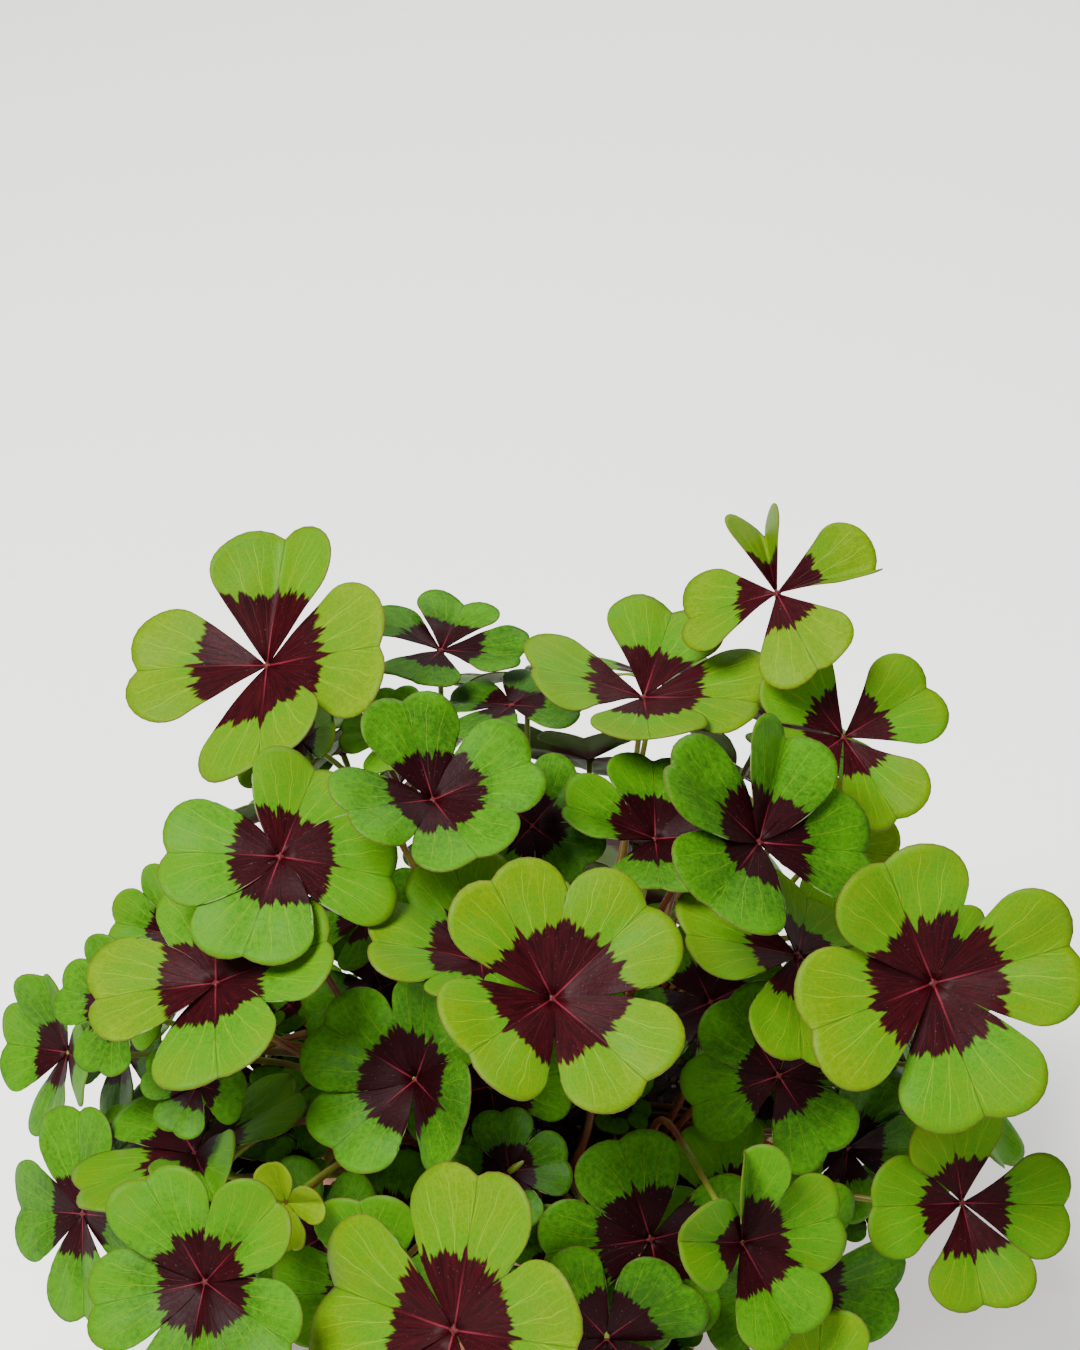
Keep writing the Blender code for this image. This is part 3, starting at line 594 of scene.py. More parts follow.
# Spots deep in the plant where the photograph has a dim leaf, as hubs in mm.
DIM_SPOTS = (
    (-77, -10, 128), (-79, -35, 112), (-72, -26, 118), (-65, -45, 116), (-57, -58, 114),
    (-87, -50, 112), (-92, -12, 110), (-105, -22, 110), (-116, -32, 108), (-70, 12, 118),
    (-72, 30, 106), (-78, 16, 100), (-62, -43, 120), (82, -10, 115), (60, -20, 122),
    (63, -48, 116), (88, -28, 118), (92, -50, 110), (35, -100, 106), (46, -80, 110),
    (16, -66, 114), (-20, -75, 110), (12, -18, 118), (26, -32, 118), (5, 0, 122),
    (-46, 25, 118), (-42, 0, 134), (20, 20, 124), (-15, -22, 118), (44, 6, 118),
    (-25, 40, 124), (30, 52, 122),
)


def crown_places():
    """Four crowns on the inner ring and eight on the outer."""
    places = []
    for count, ring, shift in ((INNER_CROWNS, INNER_RING, 0.5), (OUTER_CROWNS, OUTER_RING, 0)):
        for index in range(count):
            angle = math.tau * (index + shift) / count
            places.append(Vector((ring * math.cos(angle), ring * math.sin(angle), 0)))
    return places


def outline_radius(angle):
    """How far a leaflet's edge is from the hub, in leaflet lengths, at angles from its midrib:
    a straight side that ends in a round lobe on each half, by the cosine rule."""
    lobe_reach = math.hypot(LOBE_ALONG, LOBE_ACROSS)
    off_lobe = np.abs(angle) - math.atan2(LOBE_ACROSS, LOBE_ALONG)
    side = lobe_reach * np.sin(off_lobe)
    reach = lobe_reach * np.cos(off_lobe) + np.sqrt(np.maximum(LOBE_RADIUS**2 - side**2, 0))
    return reach / (lobe_reach + LOBE_RADIUS)


def leaf_axes(leaf):
    """The leaf's facing direction, and the turn that tilts a level leaf into place."""
    lean = math.radians(leaf.lean)
    turn = Quaternion((-math.sin(lean), math.cos(lean), 0), math.radians(leaf.tilt))
    return turn @ Vector((0, 0, 1)), np.array(turn.to_matrix())


def leaflet_points(leaf, number, along, across, lift=0.0):
    """Points of one leaflet from shares of its length along and across its midrib. The blade rises
    as a gutter at the midrib, arches down in each half, droops at its tip, folds on the midrib
    and rises from the hub as a cup. Lift is added to its height."""
    heading = math.radians(leaf.headings[number])
    cup = math.radians(leaf.cup)
    fold = math.radians(leaf.folds[number])
    outward = np.array((math.cos(heading), math.sin(heading), 0))
    sideways = np.array((-math.sin(heading), math.cos(heading), 0))
    across = across * FULL_LEAFLETS / max(len(leaf.headings), FULL_LEAFLETS)
    rise = GUTTER * np.abs(across) - ARCH * across**2 - DROOP * along**2 + lift
    raised = np.abs(across) * math.sin(fold) + rise * math.cos(fold)
    place = (along * math.cos(cup) - raised * math.sin(cup))[..., None] * outward
    place += (across * math.cos(fold))[..., None] * sideways
    place += (along * math.sin(cup) + raised * math.cos(cup))[..., None] * np.array((0, 0, 1))
    return (np.array(leaf.hub) + place @ leaf_axes(leaf)[1].T * leaf.length) * MM


def leaf_sheet(leaf):
    """The leaf's coarse sheet, as its solid has it: points, and faces that fan from each crease."""
    angle = np.radians(OUTLINE_ANGLES)
    reach = outline_radius(angle)
    along = np.array([CREASE_SHARE, outline_radius(0), *reach * np.cos(angle), *reach * np.cos(angle)])
    across = np.array([0, 0, *-reach * np.sin(angle), *reach * np.sin(angle)])
    points, faces, rim = [], [], []
    for number, heading in enumerate(leaf.headings):
        spokes = np.radians((heading - HUB_ANGLE, heading + HUB_ANGLE))
        spokes = np.stack([np.cos(spokes), np.sin(spokes), np.zeros(2)], axis=1) * HUB_RADIUS
        points += [leaflet_points(leaf, number, along, across)]
        points += [np.array(leaf.hub) * MM + spokes @ leaf_axes(leaf)[1].T]
        first = number * 10
        for loop in ((8, 2, 3, 4, 1), (1, 7, 6, 5, 9)):
            faces += [(first, first + start, first + end) for start, end in zip(loop, loop[1:])]
        faces.append((first, first + 9, first + 8))
        rim += [first + 8, first + 9]
    return np.concatenate(points), [*faces, tuple(rim)]


def leaf_tree(leaves):
    """A search tree over the leaves' sheets, with the leaf that each face belongs to."""
    points, faces, owners = [], [], []
    for number, leaf in enumerate(leaves):
        corners, loops = leaf_sheet(leaf)
        faces += [[len(points) + corner for corner in loop] for loop in loops]
        owners += [number] * len(loops)
        points += corners.tolist()
    return BVHTree.FromPolygons(points, faces), owners


def sheet_samples(leaf):
    """The corners, edge middles and face middles of a leaf's sheet."""
    points, faces = leaf_sheet(leaf)
    edges = {tuple(sorted(pair)) for face in faces for pair in zip(face, (*face[1:], face[0]))}
    middles = [(points[start] + points[end]) / 2 for start, end in edges]
    return [*points, *middles, *[points[list(face)].mean(axis=0) for face in faces]]


def touches(leaf, placed, spacing):
    """Whether a leaf comes nearer than the spacing to the ones already placed."""
    reach = (leaf.length + LONGEST_LEAFLET) * MM
    near = [other for other in placed if math.dist(other.hub, leaf.hub) * MM < reach]
    if not near:
        return False
    tree, _ = leaf_tree(near)
    own_tree, _ = leaf_tree([leaf])
    if any(tree.find_nearest(sample, spacing)[0] for sample in sheet_samples(leaf)):
        return True
    samples = [sample for other in near for sample in sheet_samples(other)]
    return any(own_tree.find_nearest(sample, spacing)[0] for sample in samples)


def rule_leaves():
    """Leaves spread evenly over a dome, the front ones low and deep inside it."""
    draw = random.Random(RULE_SEED)
    for attempt in range(RULE_TRIES):
        share = attempt * RULE_STEPS[0] % 1
        round_angle = math.tau * (attempt * RULE_STEPS[1] % 1)
        height_angle = math.radians(RULE_LOWEST + (RULE_HIGHEST - RULE_LOWEST) * share)
        behind = math.sin(round_angle) > RULE_BEHIND
        reach = draw.uniform(*(RULE_REACH_BEHIND if behind else RULE_REACH_INSIDE))
        across = math.cos(height_angle) * reach
        hub = (
            round(DOME_MIDDLE[0] + DOME_SIZE[0] * across * math.cos(round_angle)),
            round(DOME_MIDDLE[1] + DOME_SIZE[1] * across * math.sin(round_angle)),
            round(DOME_MIDDLE[2] + DOME_SIZE[2] * math.sin(height_angle) * reach),
        )
        tilt = RULE_TILT * (1 - RULE_TILT_FADE * share)
        tilt += draw.uniform(-RULE_TILT_SPREAD, RULE_TILT_SPREAD)
        lean = math.degrees(round_angle) + draw.uniform(-RULE_LEAN_SPREAD, RULE_LEAN_SPREAD)
        first = draw.randrange(0, RULE_TURN, RULE_TURN_STEP)
        shifts = [draw.choice((-RULE_TURN_STEP, 0, 0, RULE_TURN_STEP)) for _ in range(FULL_LEAFLETS)]
        leaf = Leaf(
            hub=hub,
            tilt=round(tilt),
            lean=round(lean) % 360,
            headings=tuple(first + RULE_TURN * turn + shift for turn, shift in enumerate(shifts)),
            length=draw.choice(RULE_LENGTHS),
            cup=draw.choice(RULE_CUPS),
            tone=0.25 + 0.6 * share,
        )
        low = hub[2] < LOWEST_INSIDE and math.hypot(hub[0], hub[1]) < LOWEST_OUTSIDE
        high = not behind and hub[2] > HIGHEST_INSIDE
        if not low and not high:
            yield [leaf]


def dim_leaf(draw, hub, tilt, lean, length):
    """A small dark leaf of the undergrowth, with its four leaflets turned at random."""
    first = draw.randrange(0, RULE_TURN, RULE_TURN_STEP)
    return Leaf(
        hub=tuple(round(share) for share in hub),
        tilt=round(tilt),
        lean=round(lean + draw.uniform(-RULE_LEAN_SPREAD, RULE_LEAN_SPREAD)) % 360,
        headings=tuple(first + RULE_TURN * turn for turn in range(FULL_LEAFLETS)),
        length=length,
        cup=draw.choice(RULE_CUPS),
        tone=draw.uniform(*INNER_TONES),
    )


def spot_leaves():
    """For each dim spot, leaves to try that get smaller and move further from it."""
    draw = random.Random(INNER_SEED)
    for spot in DIM_SPOTS:
        tries = []
        for share in np.linspace(0, 1, SPOT_TRIES):
            hub = [middle + draw.uniform(-SPOT_SHIFT, SPOT_SHIFT) * share for middle in spot]
            lean = math.degrees(math.atan2(hub[1], hub[0]))
            length = round(SPOT_LONGEST + (SPOT_SHORTEST - SPOT_LONGEST) * share)
            tries.append(dim_leaf(draw, hub, draw.uniform(10, INNER_TILT), lean, length))
        yield tries


def inner_leaves():
    """Single dark leaves under the others: spread evenly over a disc, lower towards its edge."""
    draw = random.Random(INNER_SEED)
    for attempt in range(INNER_TRIES):
        across, around, up = (attempt * step % 1 for step in INNER_STEPS)
        reach = INNER_REACH[0] + (INNER_REACH[1] - INNER_REACH[0]) * math.sqrt(across)
        heading = math.tau * around
        height = INNER_HEIGHTS[0] + (INNER_HEIGHTS[1] - INNER_HEIGHTS[0]) * up - INNER_FALL * reach * across
        tilt = INNER_TILT * reach / INNER_REACH[1] + draw.uniform(0, INNER_TILT_SPREAD)
        hub = (reach * math.cos(heading), reach * math.sin(heading), height)
        yield [dim_leaf(draw, hub, tilt, math.degrees(heading), draw.choice(INNER_LENGTHS))]


def stalk_curve(root, leaf, swing, count):
    """Points on a cubic curve from the crown that rises first and meets the leaf's hub from behind."""
    facing, _ = leaf_axes(leaf)
    hub = Vector(leaf.hub) * MM
    reach = (hub - root).length
    outward = Vector((hub.x - root.x, hub.y - root.y, 0)).normalized()
    rise = root + Vector((0, 0, STALK_RISE * reach)) + outward * STALK_LEAN * reach + swing[0]
    behind = hub - facing * STALK_REACH * reach + swing[1]
    share = np.linspace(0, 1, count)[:, None]
    left = 1 - share
    near = left**3 * np.array(root) + 3 * left**2 * share * np.array(rise)
    return near + 3 * left * share**2 * np.array(behind) + share**3 * np.array(hub)


def spaced_along(points):
    """The points of a route with more put evenly between them."""
    share = (np.arange(STALK_SAMPLES) / STALK_SAMPLES)[None, :, None]
    spaced = points[:-1, None] * (1 - share) + points[1:, None] * share
    return spaced.reshape(-1, 3)


def swings(root, hub):
    """Offsets to try for a stalk's lower and upper bend, sideways and upward, smallest first."""
    along = Vector((hub.x - root.x, hub.y - root.y, 0)).normalized()
    sideways = Vector((-along.y, along.x, 0))
    yield Vector(), Vector()
    for step in range(1, SWING_SIZES):
        for turn in range(SWING_TURNS):
            angle = math.tau * turn / SWING_TURNS
            swing = sideways * math.cos(angle) + Vector((0, 0, math.sin(angle)))
            swing *= step * SWING_STEP
            for lower, upper in SWING_SHARES:
                yield swing * lower, swing * upper


def room_around(points, number, tuft, tree, owners, stalks, marks):
    """How much clear space a route keeps, as the smallest share of what it needs."""
    room = 1.0
    for step, point in enumerate(points):
        radial = math.hypot(point[0], point[1])
        low = POT_HEIGHT + RIM_CLEARANCE - point[2]
        if radial > RIM_RADIUS - POT_WALL - RIM_CLEARANCE and low > 0:
            outside = radial - RIM_RADIUS - RIM_CLEARANCE
            if outside < 0:
                room = min(room, 1 - min(low, -outside) / RIM_CLEARANCE)
        for _, _, face, distance in tree.find_nearest_range(point, BLADE_CLEARANCE):
            if owners[face] != number:
                room = min(room, distance / BLADE_CLEARANCE)
        rooted = step < len(points) * CROWDED_SHARE
        for _, mark, distance in stalks.find_range(point, STALK_CLEARANCE):
            other_tuft, other_rooted = marks[mark]
            if other_tuft == tuft and (rooted or other_rooted):
                continue
            room = min(room, distance / STALK_CLEARANCE)
    return room


def stalk_tree(grown):
    """A search tree over the stalks so far, and for each point its tuft and whether it is low."""
    tree = KDTree(sum(len(route) for _, _, route in grown))
    marks = []
    for tuft, _, route in grown:
        for step, point in enumerate(route):
            tree.insert(point, len(marks))
            marks.append((tuft, step < len(route) * CROWDED_SHARE))
    tree.balance()
    return tree, marks


def nearest_crown(leaf, crowns, grown, most):
    """The crown that a leaf grows from: the nearest to a share of its hub's offset, if it has room."""
    wanted = Vector((leaf.hub[0], leaf.hub[1], 0)) * MM * CROWN_SHARE
    owners = [tuft for tuft, _, _ in grown]
    free = [index for index in range(len(crowns)) if owners.count(index) < most]
    return min(free, key=lambda index: (crowns[index] - wanted).length)


def best_stalk(leaf, number, leaves, tuft, crowns, grown):
    """The room, the plan (root, leaf, swing) and the route of the first stalk that has all the room
    it needs, or of the roomiest one."""
    tree, owners = leaf_tree(leaves)
    stalks, marks = stalk_tree(grown)
    hub = Vector(leaf.hub) * MM
    outward = Vector((hub.x, hub.y, 0)) - crowns[tuft]
    root = crowns[tuft] + outward.normalized() * CROWN_NECK * ROOT_SHARE
    root.z = SOIL_TOP + ROOT_ABOVE_SOIL
    best = (-math.inf, None, None)
    for swing in swings(root, hub):
        route = spaced_along(stalk_curve(root, leaf, swing, STALK_POINTS))
        room = room_around(route, number, tuft, tree, owners, stalks, marks)
        if room > best[0]:
            best = (room, (root, leaf, swing), route)
        if room >= 1:
            break
    return best


def crosses_stalk(leaf, grown, spacing):
    """Whether a leaf's blade comes nearer than the spacing to a stalk already there."""
    tree, _ = leaf_tree([leaf])
    return any(tree.find_nearest(point, spacing)[0] for _, _, route in grown for point in route)


def grow_leaves(crowns):
    """The crown, the stalk plan and the route of every leaf: the photograph's first, then the
    rule's, and then the small dark ones that only this file adds. Of each group of leaves to try,
    the first that fits is kept."""
    leaves = list(TOP_LEAVES + MIDDLE_LEAVES + LOWER_LEAVES + FRONT_LEAVES)
    grown = []
    for number, leaf in enumerate(leaves):
        tuft = nearest_crown(leaf, crowns, grown, MOST_TO_A_CROWN)
        grown.append((tuft, *best_stalk(leaf, number, leaves, tuft, crowns, grown)[1:]))
    dim = (MOST_INNER_TO_A_CROWN, INNER_SPACING, INNER_SPACING)
    rules = (
        (rule_leaves(), RULE_LEAVES, MOST_TO_A_CROWN, LEAF_SPACING, BLADE_CLEARANCE),
        (spot_leaves(), len(DIM_SPOTS), *dim),
        (inner_leaves(), INNER_LEAVES, *dim),
    )
    for groups, count, most, spacing, clearance in rules:
        total = len(leaves) + count
        for group in groups:
            if len(leaves) == total:
                break
            for leaf in group:
                if touches(leaf, leaves, spacing) or crosses_stalk(leaf, grown, clearance):
                    continue
                tuft = nearest_crown(leaf, crowns, grown, most)
                room, *plan = best_stalk(leaf, len(leaves), leaves + [leaf], tuft, crowns, grown)
                if room >= ROOM_NEEDED:
                    leaves.append(leaf)
                    grown.append((tuft, *plan))
                    break
    return grown


crowns = crown_places()
grown = grow_leaves(crowns)
tuft_names = [f"tuft_{number:02d}" for number in range(1, len(crowns) + 1)]


# The crowns: the neck of each bulb, a brown papery stub that the stalks come out of.
# It is a short turned cone with shallow ridges, sunk in the soil by most of its height.
CROWN_RADIUS = 4 * MM
CROWN_HEIGHT = 13 * MM
CROWN_DEPTH = 10 * MM
CROWN_RIDGES = 7
CROWN_RIDGE_DEPTH = 0.05
CROWN_STEP = 1.2 * MM
CROWN_STEPS = 42
HUSK = "4E3524"
HUSK_PALE = "7A5D46"

# Bulb husk: dry papery scales, brown with paler streaks up the neck.
husk, husk_shader = new_material("bulb_husk", 0.7)
place = add_node(husk, "TexCoord").outputs["Object"]
stretched = add_node(husk, "Mapping", {"Vector": place, "Scale": (1, 1, 0.15)})
streak = add_node(husk, "TexNoise", {"Vector": stretched, "Scale": 1 / 0.0008, "Detail": 4})
papery = add_node(husk, "Mix", {0: streak, 6: linear(HUSK), 7: linear(HUSK_PALE)}, data_type="RGBA")
set_inputs(husk_shader, {"Base Color": papery})
crown_profile = np.array(
    [
        (0, CROWN_HEIGHT),
        (CROWN_NECK * 0.8, CROWN_HEIGHT),
        (CROWN_NECK, CROWN_HEIGHT - 0.6 * MM),
        (CROWN_RADIUS * 0.9, CROWN_HEIGHT / 2),
        (CROWN_RADIUS, 0.5 * MM),
        (0, 0),
    ]
)
crown_points = turned(even_profile(crown_profile, CROWN_STEP), CROWN_STEPS)
crown_angle = np.arctan2(crown_points[..., 1], crown_points[..., 0])
ridges = 1 - CROWN_RIDGE_DEPTH + CROWN_RIDGE_DEPTH * np.cos(crown_angle * CROWN_RIDGES)
crown_points[..., :2] *= ridges[..., None]
for number, crown in enumerate(crowns):
    base = np.array((crown.x, crown.y, SOIL_TOP - CROWN_DEPTH))
    crown_mesh = surface_mesh("bulb_neck", crown_points + base, closed=True)
    weld(crown_mesh)
    new_piece(f"bulb_neck_{number + 1:02d}", crown_mesh, [husk], "leaf_green", tuft_names[number])


# The leaf stalks: smooth juicy stems, one to a leaf, that rise from the crown and bend to the hub.
# Each thins towards its leaf and swells a little just under it.
STALK_RADIUS = 0.95 * MM
STALK_RINGS = 34
STALK_SIDES = 10
STALK_FOOT = 1.25
STALK_TIP = 0.8
STALK_SWELLING = 0.3
SWELLING_PLACE = 0.98
SWELLING_WIDTH = 0.03
STALK_OLIVE = "6A7414"
STALK_BROWN = "582B14"
STALK_GREEN = "4A6418"


def stalk_tubes(plans):
    """One tube for each stalk: a circle carried along its curve, its radius falling evenly from
    foot to tip with a bulge under the leaf, closed by a point at each end."""
    centre = np.stack([stalk_curve(*plan, STALK_RINGS) for plan in plans])
    ahead = np.gradient(centre, axis=1)
    ahead /= np.linalg.norm(ahead, axis=-1, keepdims=True)
    chord = centre[:, -1:] - centre[:, :1]
    bend = np.cross(chord, centre[:, STALK_RINGS // 2, None] - centre[:, :1])
    bend += np.cross(chord, (0, 0, 1)) * 0.01
    bend /= np.linalg.norm(bend, axis=-1, keepdims=True)
    side = bend - (bend * ahead).sum(axis=-1, keepdims=True) * ahead
    side /= np.linalg.norm(side, axis=-1, keepdims=True)
    up = np.cross(ahead, side)
    share = np.linspace(0, 1, STALK_RINGS)
    swelling = STALK_SWELLING * np.exp(-(((share - SWELLING_PLACE) / SWELLING_WIDTH) ** 2))
    radius = STALK_FOOT + (STALK_TIP - STALK_FOOT) * share + swelling
    radius = STALK_RADIUS * radius[:, None, None]
    around = -np.arange(STALK_SIDES)[:, None] * math.tau / STALK_SIDES
    tube = centre[:, :, None] + radius * (side[:, :, None] * np.cos(around) + up[:, :, None] * np.sin(around))
    ends = [np.repeat(centre[:, end, None, None], STALK_SIDES, axis=2) for end in (0, -1)]
    return np.concatenate([ends[0], tube, ends[1]], axis=1)


def set_uv(mesh, name, along, across):
    """Gives each face corner its point's two shares as a UV map."""
    corner = np.empty(len(mesh.loops), np.int32)
    mesh.loops.foreach_get("vertex_index", corner)
    layer = mesh.uv_layers.new(name=name)
    layer.uv.foreach_set("vector", np.stack([along.ravel()[corner], across.ravel()[corner]], axis=1).ravel())


def set_value(mesh, name, values):
    """Gives each point of the mesh one number, under a name that a material reads."""
    mesh.attributes.new(name, "FLOAT", "POINT").data.foreach_set("value", values.ravel().astype(np.float32))


# Stalk skin: thin and juicy. It is red-brown near the soil and olive-yellow towards the leaf,
# finely mottled and with a soft gloss.
stalk_skin, stalk_shader = new_material("stalk_skin", 0.42)
share = add_node(stalk_skin, "Attribute", attribute_name="share").outputs["Fac"]
place = add_node(stalk_skin, "TexCoord").outputs["Object"]
blotch = add_node(stalk_skin, "TexNoise", {"Vector": place, "Scale": 1 / 0.02, "Detail": 3})
fine = add_node(stalk_skin, "TexNoise", {"Vector": place, "Scale": 1 / 0.0012, "Detail": 2})
shift = add_node(stalk_skin, "MapRange", [blotch, 0.3, 0.7, -0.3, 0.3])
shifted = add_node(stalk_skin, "Math", [share, shift], operation="ADD")
red = add_node(stalk_skin, "MapRange", [shifted, 0.4, 0.95, 1.0, 0.0], interpolation_type="SMOOTHSTEP")
skin = linear(STALK_GREEN)
for amount, shade in ((fine, STALK_OLIVE), (red, STALK_BROWN)):
    skin = add_node(stalk_skin, "Mix", {0: amount, 6: skin, 7: linear(shade)}, data_type="RGBA")
skin_bump = add_node(stalk_skin, "Bump", {"Height": fine, "Strength": 0.2, "Distance": 0.2 * MM})
stalk_looks = {
    "Base Color": skin,
    "Normal": skin_bump,
    "Specular IOR Level": 0.25,
    "Subsurface Weight": 0.1,
    "Subsurface Radius": (1.0, 0.8, 0.3),
    "Subsurface Scale": 1 * MM,
}
set_inputs(stalk_shader, stalk_looks)

shares = np.concatenate([[0], np.linspace(0, 1, STALK_RINGS), [1]])
for tuft, name in enumerate(tuft_names):
    tubes = stalk_tubes([plan for owner, plan, _ in grown if owner == tuft])
    stalk_mesh = surface_mesh("leaf_stalks", tubes, closed=True)
    set_value(stalk_mesh, "share", np.broadcast_to(shares[None, :, None], tubes.shape[:3]))
    weld(stalk_mesh)
    new_piece(f"{name}_stalks", stalk_mesh, [stalk_skin], "leaf_green", name)


# The leaf blades: four heart-shaped leaflets round a hub, thin, soft and folded on their midribs.
# Young leaves are lime, older and lower ones dark green, with a ragged maroon patch at the base.
BLADE_THICKNESS = 0.35 * MM
BLADE_ROWS = 14
BLADE_COLUMNS = 25
BLADE_START = 0.03
BLADE_CROWDING = 0.85
BLADE_WIDENING = 1.07
PUCKER = 0.010
PUCKER_SIZE = 0.35
EDGE_WAVE = 0.016
EDGE_WAVES = (5, 9)
SIDE_LIFT = 0.17
OVERLAP_TWIST = 0.07
TIP_CURL = 0.05
LOBE_LEAN = 0.14
WIDTH_SPREAD = 0.05
PATCH_REACH = 0.44
PATCH_SPREAD = 0.05
PATCH_LAST_TONE = 1.2
TONE_SPREAD = 0.14
TONE_OF_PALE = 0.3
GREEN_STEP = 0.55
VEIN_SPACING = 0.2
GREEN_OLD = "1D4207"
GREEN_FULL = "356806"
GREEN_YOUNG = "4A6600"
GREEN_PALE = "5C7602"
PATCH_MAROON = "30050A"
PATCH_DARK = "120103"
VEIN_PINK = "74202F"
VEIN_GREEN = "748E0C"
MARGIN_ROSE = "4D3021"
HAIR_GLINT_WHITE = "B0A898"
UNDERSIDE_GREEN = "5F7638"
UNDERSIDE_SHADED = "4A6228"
UNDERSIDE_ROSE = "552C2C"


def blade_grid(fullness):
    """Shares along and across a leaflet, and how far each point is from its edge. The rows go out
    from the hub and the columns across by even steps of a sine, closer at the sides. Each point
    is a share of the way to the outline at its angle from the midrib. The angle is widened near
    the hub by the fullness, which closes the gaps between leaflets there, and the whole by a little."""
    lobe_angle = math.atan2(LOBE_ACROSS, LOBE_ALONG)
    widest = lobe_angle + math.asin(LOBE_RADIUS / math.hypot(LOBE_ALONG, LOBE_ACROSS))
    angle = widest * np.sin(np.linspace(-math.pi / 2, math.pi / 2, BLADE_COLUMNS))
    out = BLADE_START + (1 - BLADE_START) * np.linspace(0, 1, BLADE_ROWS)[:, None] ** BLADE_CROWDING
    reach = out * outline_radius(angle)
    tip_gap = (1 - out) * outline_radius(angle)
    side_gap = reach * np.sin(widest - np.abs(angle))
    widened = angle * (1 + fullness * (1 - out))
    across = reach * np.sin(widened) * BLADE_WIDENING
    return reach * np.cos(widened), across, np.minimum(tip_gap, side_gap)


def blade_sheets(leaf, seed):
    """The grids of a leaf's leaflets. The height gets puckers between the veins, a few random
    waves, and a wave along the edge that grows with the square of the distance from the hub.
    Each half lifts by its own share, the tip curls, and each leaflet is twisted so that one edge
    lies over the next leaflet's. One lobe is a little longer than the other."""
    along, across, _ = blade_grid(leaf.fullness)
    draw = np.random.default_rng(seed)
    reach = np.hypot(along, across)
    angle = np.arctan2(across, along)
    sheets = []
    for number in range(len(leaf.headings)):
        flat = np.stack([along, across, np.full_like(along, draw.uniform(0, 9))], axis=-1)
        lift = PUCKER * waves(flat, PUCKER_SIZE, seed + number) * np.minimum(reach * 2, 1)
        lift += draw.uniform(-TIP_CURL, TIP_CURL) * along**2
        lift += EDGE_WAVE * reach**2 * np.sin(angle * draw.uniform(*EDGE_WAVES) + draw.uniform(0, math.tau))
        lift += np.abs(across) * np.where(across > 0, *draw.uniform(-SIDE_LIFT, SIDE_LIFT, 2))
        lift += OVERLAP_TWIST * across
        longer = along * (1 + draw.uniform(-LOBE_LEAN, LOBE_LEAN) * across)
        wider = across * (1 + draw.uniform(-WIDTH_SPREAD, WIDTH_SPREAD))
        sheets.append(leaflet_points(leaf, number, longer, wider, lift))
    return sheets


# Leaf skin, upper side: soft and satin. The green is mottled and cut by pale veins that fan out
# from the hub and fork, the patch is deep maroon with pink ribs, and the edge has a thin rose line.
leaf_skin, leaf_shader = new_material("leaf_skin", 0.5)
uv = add_node(leaf_skin, "UVMap", uv_map="leaflet")
out_share, across_share, _ = add_node(leaf_skin, "SeparateXYZ", [uv]).outputs
place = add_node(leaf_skin, "TexCoord").outputs["Object"]
leaf_tone, patch_reach, edge_gap, leaf_seed = (
    add_node(leaf_skin, "Attribute", attribute_name=name).outputs["Fac"]
    for name in ("tone", "patch", "edge", "seed")
)
reach = add_node(leaf_skin, "VectorMath", [uv], operation="LENGTH")
angle = add_node(leaf_skin, "Math", [across_share, out_share], operation="ARCTAN2")
side = add_node(leaf_skin, "Math", [angle], operation="ABSOLUTE")

# Side veins: rays that bend outwards and wander a little. Halfway out each one forks to both sides.
shifted_uv = add_node(leaf_skin, "VectorMath", [uv, leaf_seed], operation="ADD")
wander = add_node(leaf_skin, "TexNoise", {"Vector": shifted_uv, "Scale": 5.0, "Detail": 1})
wander = add_node(leaf_skin, "MapRange", [wander, 0, 1, -0.04, 0.04])
bent = add_node(leaf_skin, "Math", [reach, -0.16, side], operation="MULTIPLY_ADD")
bent = add_node(leaf_skin, "Math", [bent, wander], operation="ADD")
turn = add_node(leaf_skin, "Math", [bent, VEIN_SPACING], operation="DIVIDE")
part = add_node(leaf_skin, "Math", [turn], operation="FRACT")
off_vein = add_node(leaf_skin, "Math", [part, 0.5], operation="SUBTRACT")
off_vein = add_node(leaf_skin, "Math", [off_vein], operation="ABSOLUTE")
fork_spread = add_node(leaf_skin, "MapRange", [reach, 0.52, 0.85, 0.0, 0.33])
off_fork = add_node(leaf_skin, "Math", [off_vein, fork_spread], operation="SUBTRACT")
off_fork = add_node(leaf_skin, "Math", [off_fork], operation="ABSOLUTE")
fade_out = add_node(leaf_skin, "MapRange", [edge_gap, 0.01, 0.14])
fade_in = add_node(leaf_skin, "MapRange", [reach, 0.08, 0.2])
lines = []
for off, width in ((off_vein, 0.0055), (off_fork, 0.004), (off_vein, 0.03)):
    gap = add_node(leaf_skin, "Math", [off, reach], operation="MULTIPLY")
    gap = add_node(leaf_skin, "Math", [gap, VEIN_SPACING], operation="MULTIPLY")
    line = add_node(leaf_skin, "MapRange", [gap, width, width / 5], interpolation_type="SMOOTHSTEP")
    for fade in (fade_in, fade_out):
        line = add_node(leaf_skin, "Math", [line, fade], operation="MULTIPLY")
    lines.append(line)
main_vein, fork_vein, vein_glow = lines
fork_vein = add_node(leaf_skin, "Math", [fork_vein, 0.6], operation="MULTIPLY")
side_veins = add_node(leaf_skin, "Math", [main_vein, fork_vein], operation="MAXIMUM")
midrib_gap = add_node(leaf_skin, "Math", [across_share], operation="ABSOLUTE")
midrib_width = add_node(leaf_skin, "MapRange", [reach, 0.0, 0.6, 0.011, 0.007])
midrib = add_node(leaf_skin, "Math", [midrib_gap, midrib_width], operation="DIVIDE")
midrib = add_node(leaf_skin, "MapRange", [midrib, 1.0, 0.3], interpolation_type="SMOOTHSTEP")
